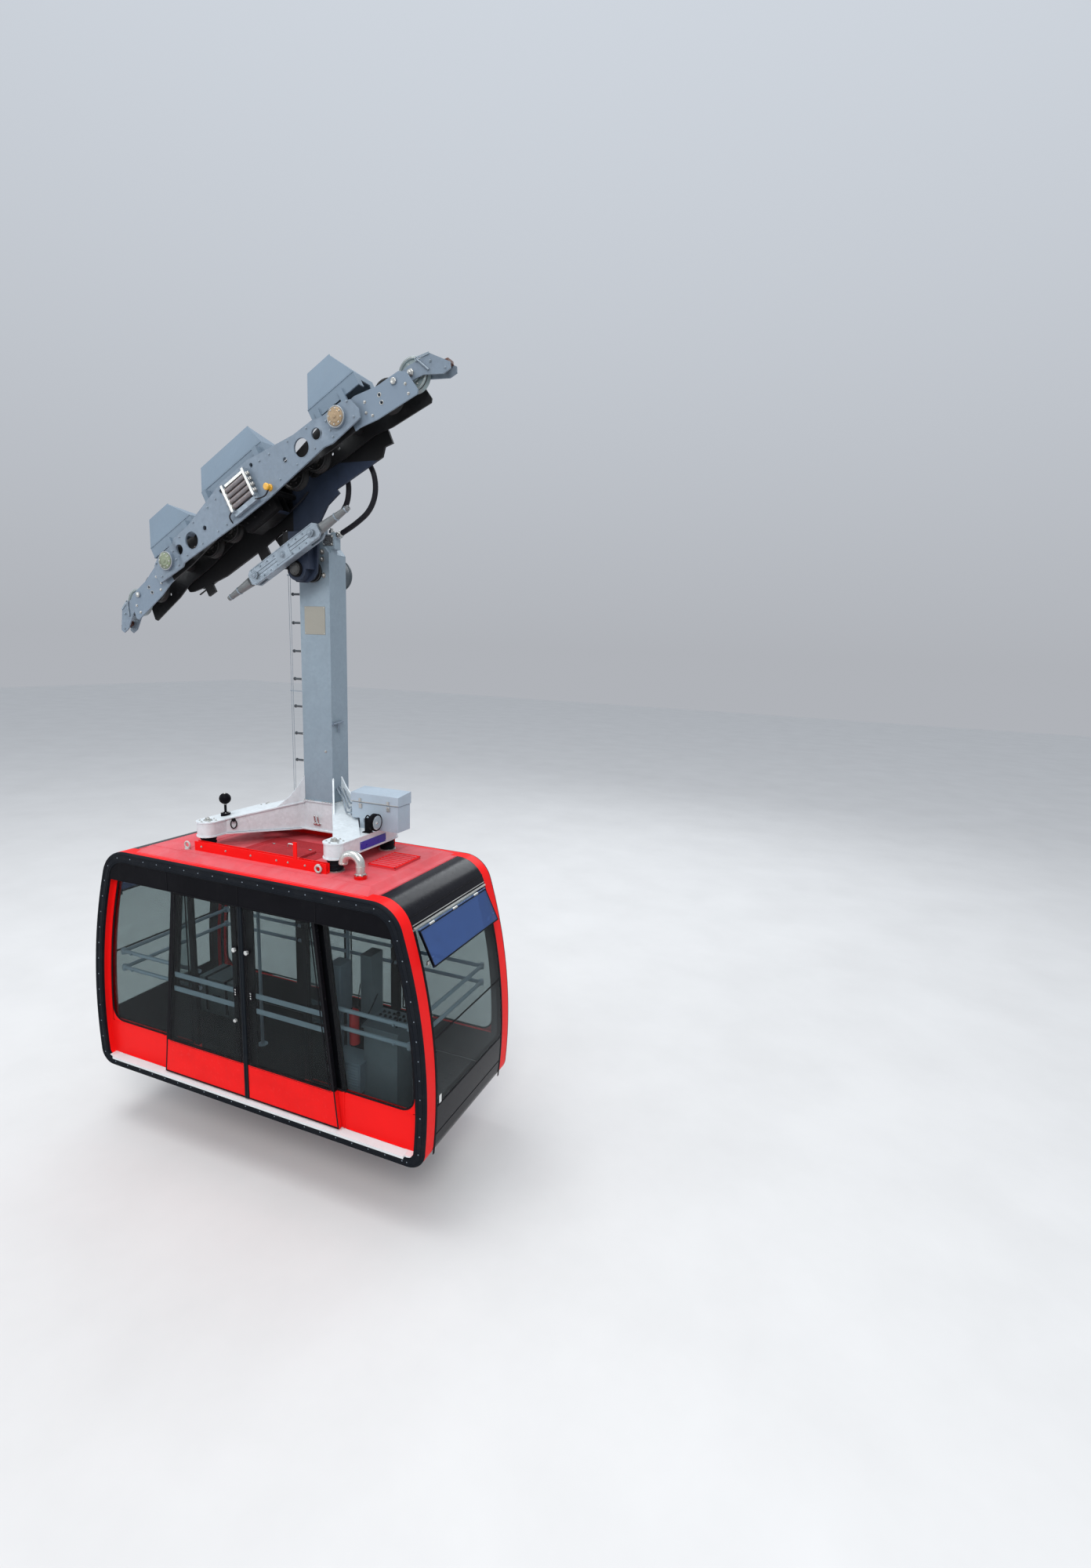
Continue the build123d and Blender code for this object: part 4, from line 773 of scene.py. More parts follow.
# ---- doors
LEAF_TOP, LEAF_BOT = 822.0, 1045.0
leaf_x = lambda z: LEAF_BOT + (LEAF_TOP - LEAF_BOT) * z / Z_FASC
for word, s in (("left", -1), ("right", 1)):
    body = "door_" + word
    k = Kit()                   # half of the rubber seal where the leaves meet, with its lip
    k.prism([(s * 1.2, -786), (s * 25, -786), (s * 25, -794), (s * 20, -797), (s * 8, -798), (s * 1.2, -795)], "z", 4, 1955)
    k.done("door_seal_" + word, "seal", body, "black_rubber", 1.0)
    k = Kit()                   # edge rubber on the leaning side and along the top
    def edge(z, d=0.0):
        return s * (leaf_x(z) - d)
    k.loft([[(edge(z, 14), -789.5, z), (edge(z, 14), -787, z), (edge(z, 0), -787, z), (edge(z, 0), -790.5, z)] for z in (3, 1956)])
    k.box(*sorted((s * 30, edge(1958, 16))), -790, -787.5, 1944, 1957)
    k.box(*sorted((s * 28, edge(4, 4))), -791, -787, 2, 16)
    loop = [(s * 52, Z_GLASS), (edge(Z_GLASS, 48), Z_GLASS), (edge(1890, 48), 1890), (s * 52, 1890)]
    if s < 0:
        loop = loop[::-1]
    k.band(loop, offset_in(loop, 10), -791, -786)
    k.done("door_rubbers_" + word, "gasket", body, "black_rubber", 0.8)
    k = Kit()                   # two flat bars across the leaf, behind its glass
    for z in (905, 1052):
        xa, xb2 = s * 56, edge(z, 52)
        k.box(*sorted((xa, xb2)), -766, -756, z - 24, z + 24)
        for x in (s * 80, edge(z, 76)):
            k.rod((x, -756, z), (x, -750, z), 9)
            k.rivet((x, -766, z), (0, -1, 0), 7)
    k.done("door_bars_" + word, "rail", body, "rail_grey", 2.0)
    k = Kit()                   # pull, lock and their screws
    k.lathe((s * 72, -788, 1474), (0, -1, 0), [(17, 0), (17, 3), (9, 5), (9, 14), (19, 18), (21, 24), (17, 27)], 24)
    if s < 0:
        k.lathe((-96, -788, 775), (0, -1, 0), [(15, 0), (15, 3), (8, 5), (8, 12), (16, 15), (17, 20), (13, 22)], 24)
    for z in (1030, 1054, 1078):
        k.lathe((s * 90, -788, z), (0, -1, 0), [(8, 0), (8, 4), (5, 5.5)], 16)
    k.done("door_pulls_" + word, "silver", body, "bare_steel")
    k = Kit()                   # lock case and hinge-side cover strip
    k.box(*sorted((s * 70, s * 112)), -791, -787, 1008, 1100)
    k.box(*sorted((s * 60, s * 88)), -790.5, -787, 1440, 1508)
    k.box(*sorted((s * 250, s * 400)), -789.5, -787, 1906, 1938)
    k.done("door_locks_" + word, "satin", body, "door_black", 1.5)
    k = Kit()                   # black closing stile behind the glass, as wide as the lock case
    k.box(*sorted((s * 50, s * 128)), -773.5, -754, Z_GLASS - 4, 1894)
    k.done("door_stile_" + word, "satin", body, "door_black", 2.0)
    k = Kit()                   # bright line round the red lower panel
    k.box(*sorted((s * 30, edge(346, 18))), -789.3, -787, 343, 350)
    k.done("door_panel_edge_" + word, "red_plain", body, "red_shell", 0.8)

k = Kit()                       # doorway posts: they lean with the leaves' edges, behind the fixed panes
for s in (-1, 1):
    post = [(s * (leaf_x(z) + d), z) for z, d in ((Z_GLASS - 6, -50), (Z_GLASS - 6, 76), (1990, 76), (1990, -50))]
    k.prism(post, "y", -728, -700)
k.done("doorway_posts", "satin", "cabin", "door_black", 2.0)

# ---- ends: header seams, flap rails, stays, window joints, blank plate
for side, word in ((1, "uphill"), (-1, "downhill")):
    def skin(z, out=0.0):
        return side * (x_end(z) + out)
    k = Kit()                   # aluminium hinge rail and header strips
    k.loft([[(skin(z, -2), y, z), (skin(z, 12), y, z - 2), (skin(z, 12), y, z + 12), (skin(z, -2), y, z + 14)] for y in (-640, 640) for z in (1944,)])
    k.loft([[(skin(z, -2), y, z), (skin(z, 4), y, z), (skin(z, 4), y, z + 6), (skin(z, -2), y, z + 6)] for y in (-640, 640) for z in (1972,)])
    for i in range(9):
        k.rivet((skin(1950, 12), -600 + i * 150, 1951), (side, 0, 0), 4.5)
    k.done("flap_rail_" + word, "bare", "cabin", "bare_steel", 0.8)
    k = Kit()                   # dark joints across the end
    for z, w in ((2044, 4), (1006, 9), (390, 8), (120, 4)):
        k.loft([[(skin(z, -2), y, z - w), (skin(z, 2.5), y, z - w), (skin(z, 2.5), y, z + w), (skin(z, -2), y, z + w)] for y in (-648, 648)])
    for s in (-1, 1):
        zs = [BOT + 60 + i * (1930 - BOT - 60) / 24 for i in range(25)]
        k.loft([[(skin(z, -2), s * 648, z), (skin(z, 3), s * 648, z), (skin(z, 3), s * 622, z), (skin(z, -2), s * 622, z)] for z in zs])
    k.done("end_joints_" + word, "gasket", "cabin", "black_rubber", 0.8)
    k = Kit()                   # stays and frame of the tilted flap
    tilt = math.radians(27.0)
    fx, fz = x_end(1925) + 18, 1925
    out = Vector((math.sin(tilt), 0, -math.cos(tilt)))
    for y in (-560, 560):
        low = Vector((fx, y, fz)) + out * 250
        k.rod((side * low.x, y, low.z), (skin(1640, 0), y, 1640), 5)
        k.rod((side * low.x, y - 14, low.z), (side * low.x, y + 14, low.z), 8)
        k.box(*sorted((skin(1640, -2), skin(1640, 14))), y - 14, y + 14, 1625, 1655)
    for y in (-400, 0, 400):
        k.rod((side * fx, y - 40, fz), (side * fx, y + 40, fz), 12.5)
    k.done("flap_stays_" + word, "bare", "cabin", "bare_steel", 0.8)
    k = Kit()
    for d0, d1, ya, yb in ((318, 330, -600, 600), (0, 14, -600, 600), (14, 318, -600, -586), (14, 318, 586, 600)):
        a, b = Vector((fx, 0, fz)) + out * d0, Vector((fx, 0, fz)) + out * d1
        nrm = Vector((math.cos(tilt), 0, math.sin(tilt))) * 9.5
        quad = [(side * (a + nrm).x, (a + nrm).z), (side * (b + nrm).x, (b + nrm).z), (side * (b - nrm).x, (b - nrm).z), (side * (a - nrm).x, (a - nrm).z)]
        k.prism(quad, "y", ya, yb)
    k.done("flap_frame_" + word, "gasket", "cabin", "black_rubber", 1.0)

k = Kit()                       # blank white plate on the uphill end, beside the near hoop
plate_z = (401, 419, 437, 455, 473)
k.loft([[(x_end(z) - 1, y, z) for z in plate_z] + [(x_end(z) + 2.5, y, z) for z in reversed(plate_z)] for y in (-590, -556)])
k.done("end_blank_plate", "white", "cabin", "tread_aluminium", 0.5)

# ================================================================ inside the cabin
k = Kit()
k.box(-1330, 1330, -640, 640, TOP - 58, TOP - 42)
k.done("ceiling_lining", "inside", "cabin", "desk_grey", 2.0)
k = Kit()
for x in (-900, -300, 300, 900):
    k.box(x - 160, x + 160, -60, 60, TOP - 66, TOP - 57)
k.done("ceiling_lights", "white", "cabin", "desk_grey", 3.0)
k = Kit()                       # studs of the floor mat
for i in range(44):
    for j in range(17):
        k.lathe((-1650 + i * 76.7, -616 + j * 77, -12), (0, 0, 1), [(16, -0.5), (14, 2), (9, 2.8)], 8)
k.done("floor_mat", "floor", "cabin", "floor_grey")
k = Kit()                       # heater with louvres on the near wall, uphill of the door
k.box(860, 1165, -640, -440, 285, 560)
for i in range(9):
    z = 305 + i * 27
    k.prism([(-646, z), (-640, z + 16), (-640, z + 20), (-650, z + 5)], "x", 880, 1145)
k.box(850, 1175, -650, -430, 556, 580)
for x in (880, 1130):
    k.box(x, x + 20, -630, -610, -12, 290)
    k.box(x, x + 20, -470, -450, -12, 290)
k.done("heater", "cabinet", "cabin", "desk_grey", 2.0)
k = Kit()                       # tall cabinet behind the door's edge
k.box(770, 910, -560, -400, 950, 1420)
k.box(775, 905, -566, -560, 970, 1400)
k.box(820, 860, -500, -460, -12, 950)
k.done("wall_cabinet", "cabinet", "cabin", "desk_grey", 3.0)
k = Kit()                       # attendant's panel: screen frame, buttons, levers
k.box(1012, 1022, -410, -250, 930, 1480)
k.box(1160, 1490, -232, -224, 640, 880)
for i in range(6):
    for j in range(3):
        k.lathe((1190 + i * 52, -300 - j * 60, 925), (0, 0, 1), [(15, 0), (15, 4), (11, 6), (11, 12), (8, 15)], 14)
k.tube(bend([(1440, -480, 925), (1444, -478, 990), (1452, -474, 1040)]), 8)
k.lathe((1452, -474, 1036), (0.1, 0, 1), [(10, 0), (18, 10), (20, 24), (12, 36)], 18)
k.done("desk_controls", "satin", "cabin", "lamp_black", 1.2)
k = Kit()
k.box(1020, 1023, -396, -264, 1230, 1450)
k.done("desk_screen", "plate_blue", "cabin", "lamp_black", 1.0)
k = Kit()                       # extinguisher on the desk's side
k.lathe((1085, -600, 740), (0, 0, 1), [(30, 0), (46, 10), (46, 290), (36, 322), (14, 336), (14, 352)], 24)
k.done("extinguisher", "signal_red", "cabin", "red_shell")
k = Kit()
k.tube(bend([(1085, -600, 1092), (1110, -590, 1100), (1134, -586, 1050), (1136, -590, 940), (1132, -596, 860)]), 7)
k.box(1072, 1100, -612, -588, 1088, 1104)
k.tube(bend([(1300, -560, 1250), (1250, -600, 1100), (1190, -610, 990), (1150, -600, 960), (1090, -560, 1080), (1060, -480, 1250)]), 5)
k.tube(bend([(1500, -330, 900), (1560, -300, 700), (1570, -290, 420), (1560, -300, 40)]), 7)
k.done("desk_cables", "hose", "cabin", "hose_rubber")
k = Kit()                       # chest lid, straps and grips
k.box(-1708, -1202, 246, 604, 380, 386)
for x in (-1600, -1310):
    k.box(x - 18, x + 18, 246, 251, 20, 425)
    k.box(x - 18, x + 18, 246, 604, 419, 424)
k.tube(bend([(-1500, 250, 220), (-1495, 236, 230), (-1455, 228, 232), (-1415, 236, 230), (-1410, 250, 220)]), 7)
k.done("chest_straps", "satin", "cabin", "chest_grey", 1.2)
k = Kit()                       # rail joints and flanges
for z in (905, 1080):
    for sx in (-1, 1):
        for sy in (-1, 1):
            k.lathe((sx * 1690, sy * 660, z - 30), (0, 0, 1), [(22, 0), (24, 6), (24, 54), (22, 60)], 18)
for sx in (-1, 1):
    k.lathe((sx * 560, 0, -12), (0, 0, 1), [(52, 0), (52, 8), (26, 12), (20, 26)], 24)
    k.lathe((sx * 560, 0, TOP - 58), (0, 0, -1), [(46, 0), (46, 8), (24, 12), (19, 22)], 24)
    for z in (905, 1080):
        k.ring((sx * 560, 0, z), (0, 0, 1), 18, 3)
k.done("rail_joints", "rail", "cabin", "rail_grey")

# ================================================================ roof frame and hanger
k = Kit()
for sx in (-1, 1):
    for sy in (-1, 1):
        for z in (2262, 2297, 2332):
            k.ring((sx * 745, sy * 400, z), (0, 0, 1), 64, 10, 32, 8, 0.8)
k.done("mount_ribs", "rim", "cabin", "black_rubber")
k = Kit()
for sx in (-1, 1):
    for sy in (-1, 1):
        k.lathe((sx * 745, sy * 400, 2504), (0, 0, 1), [(40, 0), (40, 8), (30, 10)], 28)
        k.bolt((sx * 745, sy * 400, 2513), (0, 0, 1), 17)
        for a in range(6):
            t = math.radians(60 * a + 30)
            k.bolt((sx * 745 + 74 * math.cos(t), sy * 400 + 74 * math.sin(t), 2505), (0, 0, 1), 7)
        k.lathe((sx * 745, sy * 400, CROWN - 0.5), (0, 0, 1), [(84, 0), (84, 9), (68, 11)], 30)
        for a in range(4):
            t = math.radians(90 * a + 45)
            k.bolt((sx * 745 + 76 * math.cos(t), sy * 400 + 76 * math.sin(t), CROWN + 8), (0, 0, 1), 5)
for sx in (-1, 1):              # flange bolts along the arms' roots and the hub
    for i in range(4):
        k.bolt((sx * (60 + 34 * i), 286, 2651), (0, 0, 1), 6)
    for i in range(5):
        k.bolt((sx * 189, 330 + i * 46, 2651), (0, 0, 1), 6)
k.done("frame_bolts", "bolt", "cabin", "bare_steel")

k = Kit()                       # weld beads round the column's foot and up the gussets
foot = [(-180, 296), (180, 296), (180, 552), (-180, 552)]
for a, b in zip(foot, foot[1:] + foot[:1]):
    n = 16
    k.tube([(a[0] + (b[0] - a[0]) * i / n, a[1] + (b[1] - a[1]) * i / n, 2654 + (i % 2) * 0.8) for i in range(n + 1)], [4.5 + (i % 2) * 0.9 for i in range(n + 1)], 6)
for sx in (-1, 1):
    n = 18
    k.tube([(sx * 180, 300 + (i % 2) * 0.6, 2655 + 235 * i / n) for i in range(n + 1)], 4.0, 6)
    k.tube([(sx * 178, 446 + (i % 2) * 0.6, 2655 + 235 * i / n) for i in range(n + 1)], 4.0, 6)
    k.tube([(sx * (183 + 560 * i / 30), 300 - 698 * i / 30, 2342 + 14.8 * i / 30 + 14) for i in range(1, 30)], 3.4, 6)
k.done("frame_welds", "hanger", "cabin", "hanger_steel")

k = Kit()                       # shackle hanging on the downhill arm's inner web
u, nrm = Vector((-0.626, -0.780, 0)), Vector((0.780, -0.626, 0))
c0 = Vector((-603, -224, 2452)) + nrm * 14
loop = []
for i in range(28):
    a = 2 * math.pi * i / 28
    loop.append(c0 + u * (27 * math.cos(a)) + Vector((0, 0, 42 * math.sin(a))) + nrm * (3 * math.cos(a)))
k.tube(loop, 5.5, 10, closed=True)
k.lathe(Vector((-603, -224, 2494)) + nrm * 0, nrm, [(20, 0), (20, 5), (11, 8), (11, 22), (16, 24), (16, 30)], 18)
k.done("web_shackle", "dark", "cabin", "dark_steel")
k = Kit()                       # two small stays on the hub's front
for x in (-46, -6):
    k.rod((x, 300, 2422), (x + 16, 262, 2500), 8)
    k.rod((x, 302, 2422), (x - 3, 292, 2410), 9)
    k.lathe((x + 16, 262, 2500), (0.18, -0.43, 0.88), [(10, -2), (11, 2), (8, 8)], 14)
k.box(-62, 22, 288, 301, 2398, 2420)
k.done("hub_stays", "silver", "cabin", "bare_steel", 1.2)
k = Kit()                       # plain plate on the uphill beam's outer web
k.box(843, 847.5, -169, 231, 2374, 2488 - 36)
k.done("beam_plate", "plate_blue", "cabin", "desk_grey", 1.5)
k = Kit()
for y in (-158, 220):
    for z in (2384, 2442):
        k.rivet((847.5, y, z), (1, 0, 0), 5)
k.done("beam_plate_rivets", "silver", "cabin", "bare_steel")

# electrical box: latches, seams, glands and the conduits to the column
k = Kit()
for x in (655, 965):
    k.box(x - 16, x + 16, 91, 100.5, 2700, 2744)
    k.rod((x - 18, 90, 2738), (x + 18, 90, 2738), 5)
for i in range(9):
    k.rivet((580 + i * 58, 100, 2530 if i > 1 else 2620), (0, -1, 0), 4)
for z in (2560, 2620, 2680):
    k.rivet((1069, 130, z), (1, 0, 0), 4)
    k.rivet((1069, 275, z), (1, 0, 0), 4)
k.done("box_latches", "bolt", "cabin", "bare_steel", 1.0)
k = Kit()
for x in (655, 965):
    k.box(x - 13, x + 13, 84, 92.5, 2762, 2796)
k.box(549, 1075, 90, 92.6, 2759, 2766)
k.done("lid_latches", "bolt", "box_lid", "bare_steel", 1.0)
k = Kit()
for i, z in enumerate((2625, 2655, 2690)):
    k.lathe((556, 140 + 44 * i, z), (-1, 0, 0), [(15, 0), (15, 12), (11, 14), (11, 26), (8, 30)], 14)
    k.tube(bend([(530, 140 + 44 * i, z), (470, 150 + 44 * i, z + 10 * i), (400, 210 + 40 * i, z - 10), (300, 300 + 34 * i, 2700 + 10 * i), (220, 350 + 40 * i, 2740 + 12 * i), (179, 360 + 40 * i, 2790 + 20 * i)]), 8)
k.tube(bend([(790, -10, 2560), (770, 30, 2530), (740, 70, 2520), (700, 90, 2560), (690, 98, 2600)]), 6)
k.done("box_conduits", "galv", "cabin", "hose_rubber")
k = Kit()
k.box(470, 545, 190, 268, 2585, 2650)
k.box(474, 541, 186, 190, 2590, 2645)
for x in (486, 529):
    for z in (2600, 2636):
        k.rivet((x, 186, z), (0, -1, 0), 4)
k.done("junction_box", "galv", "cabin", "galvanised_steel", 1.5)

# headlamp: bezel, glass, reflector
k = Kit()
k.ring((914, -10, 2612), (1, 0, 0), 73, 8, 40, 10, 0.9)
k.ring((872, -10, 2612), (1, 0, 0), 76, 5, 40, 8, 0.7)
for a in range(4):
    t = math.radians(90 * a + 45)
    k.rivet((919, -10 + 73 * math.cos(t), 2612 + 73 * math.sin(t)), (1, 0, 0), 4)
k.tube(bend([(848, -10, 2640), (820, -14, 2668), (800, -20, 2650), (795, -20, 2600), (790, -16, 2545)]), 6)
k.done("lamp_bezel", "satin", "cabin", "lamp_black")
k = Kit()
k.lathe((905, -10, 2612), (1, 0, 0), [(66, 12.2), (60, 12.6), (36, 12.4), (16, 12.2), (9, 16), (2, 20)], 32)
k.done("lamp_reflector", "mirror", "cabin", "bare_steel")
k = Kit()
k.lathe((917, -10, 2612), (1, 0, 0), [(67, 0), (64, 8), (52, 15), (30, 20), (2, 22)], 36)
k.done("lamp_glass", "lens", "cabin", "tinted_glass")
k = Kit()
k.ring((-745, -180, 2624), (0, 0, 1), 13, 4)
k.lathe((-745, -180, 2732), (0, 0, 1), [(16, 0), (14, 4), (5, 6)], 16)
for a in range(4):
    t = math.radians(90 * a + 45)
    k.bolt((-745 + 32 * math.cos(t), -180 + 32 * math.sin(t), 2537), (0, 0, 1), 5)
k.done("ball_fixings", "bolt", "cabin", "bare_steel")

# column: plain sign plate, hook, peg roots, safety wires, conduit down the back
k = Kit()
k.box(-122, 120, 296, 300.2, 4297, 4560)
k.done("column_plate", "plate_beige", "cabin", "tread_aluminium", 1.5)
k = Kit()
for x in (-112, 110):
    for z in (4308, 4549):
        k.rivet((x, 296, z), (0, -1, 0), 5)
k.bolt((98, 300, 3165), (0, -1, 0), 9)
for i in range(7):
    z = 4673 - i * 271
    k.lathe((-176, 324, z), (-1, 0, 0), [(22, 0), (22, 5), (14, 8)], 18)
for a in range(10):
    t = 2 * math.pi * a / 10
    k.bolt((118 * math.cos(t), 700, 4880 + 118 * math.sin(t)), (0, 1, 0), 9)
for x, z in ((100, 4993), (114, 4848), (101, 5062)):
    k.lathe((x, 300, z), (0, -1, 0), [(24, 0), (24, 5), (14, 7)], 20)
    k.bolt((x, 294, z), (0, -1, 0), 11)
k.done("column_bolts", "bolt", "cabin", "bare_steel")
k = Kit()
k.ring((0, 660, 4880), (0, 1, 0), 151, 4, 48)
k.ring((0, 575, 4880), (0, 1, 0), 152, 5, 48)
k.done("drum_rings", "drum", "cabin", "hanger_steel")
k = Kit()                       # cable hook on the uphill face
k.tube(bend([(176, 322, 3442), (192, 326, 3444), (196, 350, 3447), (196, 449, 3459)]), 10)
k.tube(bend([(196, 378, 3449), (196, 382, 3400), (192, 384, 3353)]), 10)
k.lathe((176, 322, 3442), (1, 0, 0), [(24, 0), (24, 5), (14, 8)], 18)
k.done("column_hook", "galv_pale", "cabin", "galvanised_steel")
k = Kit()                       # fall-arrest wires beside the pegs, with their brackets
for dx in (0, 22):
    k.tube([(-326 + dx, 320, 2632 + i * (4852 - 2632) / 12) for i in range(13)], 2.2, 6)
for z in (4852, 2640):
    k.box(-336, -176, 312, 328, z - 6, z + 6)
    k.prism([(-300, z - 6), (-176, z - 60), (-176, z - 6)] if z > 3000 else [(-300, z + 6), (-176, z + 60), (-176, z + 6)], "y", 316, 324)
for z in (3740,):
    k.box(-336, -176, 315, 325, z - 4, z + 4)
k.done("climbing_wires", "galv", "cabin", "galvanised_steel")
k = Kit()                       # conduit with clips down the back, and seam flanges
k.tube(bend([(-70, 420, 5106), (-70, 500, 5116), (-70, 566, 5090), (-70, 572, 4990), (-70, 568, 4000), (-70, 568, 3000), (-70, 568, 2760), (-70, 566, 2668)]), 12)
k.tube(bend([(-110, 566, 4700), (-110, 568, 4000), (-110, 568, 3000), (-110, 566, 2668)]), 8)
for i in range(8):
    z = 2800 + i * 260
    k.box(-132, -46, 547, 553, z, z + 30)
    k.ring((-70, 568, z + 15), (0, 0, 1), 15, 3.4)
k.done("column_conduits", "dark", "cabin", "dark_steel")
k = Kit()                       # hose connectors on the head
for a, d in (((110, 350, 5321), (0.92, -0.28, 0.26)), ((254, 370, 5225), (0.92, -0.17, 0.35))):
    a, d = Vector(a), Vector(d).normalized()
    k.lathe(a - d * 22, d, [(35, 0), (35, 20), (29, 24), (29, 48), (26, 52)], 24)
    k.lathe(a - d * 6, d, [(36, 0), (36, 22)], 6)
k.lathe((150, 380, 5238), (0, 0, 1), [(26, 0), (26, 26), (16, 30), (16, 44)], 20)
k.box(74, 200, 331, 336, 5120, 5216)
for x in (90, 185):
    for z in (5134, 5204):
        k.bolt((x, 331, z), (0, -1, 0), 6)
k.done("hose_connectors", "silver", "cabin", "bare_steel", 1.0)

# ================================================================ carriage
NEAR, NEAR_E = -206.0, -166.0
plate_holes = [(-925, 160, 48), (-742, 150, 78), (-545, 160, 22), (-205, 326, 18),
               (205, 326, 18), (545, 160, 22), (742, 150, 78), (925, 160, 48)]
k = Kit(CAR)
for s, n, r in plate_holes:
    k.ring((s, NEAR + 1.0, n), (0, 1, 0), r + 2, 3.4, 36)
    k.ring((s, 161, n), (0, 1, 0), r + 2, 3.4, 36)
k.done("plate_hole_rims", "galv_pale", "carriage", "galvanised_steel")
k = Kit(CAR)
for side in (-1, 1):
    for s in (960, 1010, 1040, 1290):
        for n in (70, 130, 215) if s != 1290 else (90, 230):
            y = NEAR if s < 950 else NEAR_E if s > 1010 else None
            if y is None:
                continue
            k.bolt((side * s, y, n), (0, -1, 0), 8)
    for s in (300, 420, 640, 860):
        k.bolt((side * s, NEAR, 40 + s * 0.03), (0, -1, 0), 7)
        k.bolt((side * s, NEAR, 330 - s * 0.09), (0, -1, 0), 7)
    for s in (120, 300, 480, 660, 840, 1020, 1200, 1320):       # far plate, outer face
        k.bolt((side * s, 160, 30), (0, 1, 0), 8)
        k.bolt((side * s, 160, 215 if s > 700 else 300), (0, 1, 0), 8)
for a in range(8):
    t = 2 * math.pi * a / 8
    k.bolt((82 * math.cos(t), 160, -530 + 82 * math.sin(t)), (0, 1, 0), 8)
for n in (-190, -270, -350):
    for s in (-60, 60):
        k.bolt((s - n * 0.25, 160, n), (0, 1, 0), 9)
k.done("carriage_bolts", "galv", "carriage", "bare_steel")
for word, side, finish in (("lower", -1, "cap_green"), ("upper", 1, "cap_brown")):
    k = Kit(CAR)
    k.lathe((side * 1150, -192, 176), (0, -1, 0), [(74, 0), (74, 5), (66, 9), (50, 10), (46, 14), (20, 15), (16, 20)], 40)
    k.done("pivot_cap_" + word, finish, "carriage", "galvanised_steel")
    k = Kit(CAR)
    for a in range(8):
        t = 2 * math.pi * a / 8 + 0.2
        k.bolt((side * 1150 + 60 * math.cos(t), -200, 176 + 60 * math.sin(t)), (0, -1, 0), 5.5)
    k.ring((side * 1150, -191, 176), (0, 1, 0), 82, 4, 44)
    k.done("pivot_cap_bolts_" + word, "bolt", "carriage", "bare_steel")

# brake spring pack in the near plate's window
k = Kit(CAR)
for n in (112, 164, 216, 268):
    prof = []
    for i in range(42):
        s = -122 + i * 5.95
        prof += [(21.8, s), (21.8, s + 2.0), (16, s + 3.4), (16, s + 4.4)]
    k.lathe((0, -236, n), (1, 0, 0), prof, 20)
k.done("spring_discs", "spring", "carriage", "spring_steel")
k = Kit(CAR)
for n in (112, 164, 216, 268):
    for s in (-1, 1):
        k.lathe((s * 150, -236, n), (s, 0, 0), [(24, 0), (24, 6), (17, 8), (17, 22), (12, 26)], 6)
        k.lathe((s * 122, -236, n), (s, 0, 0), [(28, 0), (28, 6)], 20)
for s in (-139, 139):
    k.box(s - 13, s + 13, -266, -262, 66, 324)
k.box(-120, 120, -246, -206, 296, 322)
k.done("spring_ends", "bare", "carriage", "galvanised_steel", 1.5)
k = Kit(CAR)
k.lathe((288, -206, 56), (0, -1, 0), [(30, 0), (30, 10), (24, 14), (24, 40), (30, 42), (30, 52), (22, 58)], 26)
k.done("brake_valve", "yellow", "carriage", "spring_steel")
k = Kit(CAR)
k.tube(bend([(288, -240, 30), (240, -246, 4), (170, -240, 20), (120, -236, 44)]), 6)
k.tube(bend([(-150, -240, 96), (-210, -236, 70), (-230, -214, 40), (-232, -196, 10)]), 6)
k.tube(bend([(-200, 60, -10), (-60, 80, -60), (120, 90, -50), (300, 100, -30), (420, 120, 10)]), 9)
k.tube(bend([(-180, -80, 250), (-226, -84, 272), (-258, -50, 292), (-268, 24, 292), (-262, 96, 262), (-250, 148, 206)]), 8)
k.done("brake_pipes", "hose", "carriage", "hose_rubber")
k = Kit(CAR)                    # jaws, cylinder and bolts of the rail brake
for s in (-150, -50, 50, 150):
    k.bolt((s, -110, 0), (0, -1, 0), 9)
    k.bolt((s, 56, -30), (0, 1, 0), 9)
k.lathe((-60, -20, 250), (0, 0, 1), [(46, 0), (46, 60), (38, 66), (20, 66), (20, 92)], 28)
k.lathe((90, -20, 250), (0, 0, 1), [(34, 0), (34, 44), (28, 50), (14, 50), (14, 70)], 28)
k.box(-190, 190, -60, 60, -74, -68)
k.done("brake_cylinder", "under", "carriage", "dark_steel", 1.5)

# far plate: stiffening ribs, pipe run and pump case on its back
k = Kit(CAR)
for s in (-1180, -860, -420, 420, 860, 1180):
    k.box(s - 5, s + 5, 160, 182, -70, 230)
k.box(-1260, 1260, 160, 174, -96, -86)
k.box(-1200, 1200, 160, 172, 236, 244)
k.prism([(-150, -130), (150, -130), (96, -400), (-96, -400)], "y", 159.5, 172)
k.done("far_plate_ribs", "under", "carriage", "dark_steel", 1.5)
k = Kit(CAR)
k.box(-340, -80, 160, 262, 60, 220)
k.box(-346, -74, 160, 268, 214, 226)
k.lathe((-210, 200, 226), (0, 0, 1), [(22, 0), (22, 16), (30, 18), (30, 30)], 22)
for s in (-320, -100):
    for n in (80, 196):
        k.rivet((s, 262, n), (0, 1, 0), 6)
k.done("pump_case", "galv", "carriage", "galvanised_steel", 3.0)
k = Kit(CAR)
k.tube(bend([(-80, 200, 120), (40, 196, 110), (300, 186, 70), (620, 182, 20), (780, 182, 0), (860, 196, 6)]), 10)
k.tube(bend([(-80, 220, 160), (60, 206, 150), (360, 190, 110), (820, 186, 60), (1010, 196, 0), (1050, 206, -24)]), 10)
for s in (180, 420, 640):
    k.box(s - 14, s + 14, 160, 202, 20, 130)
k.done("carriage_pipes", "hose", "carriage", "hose_rubber")
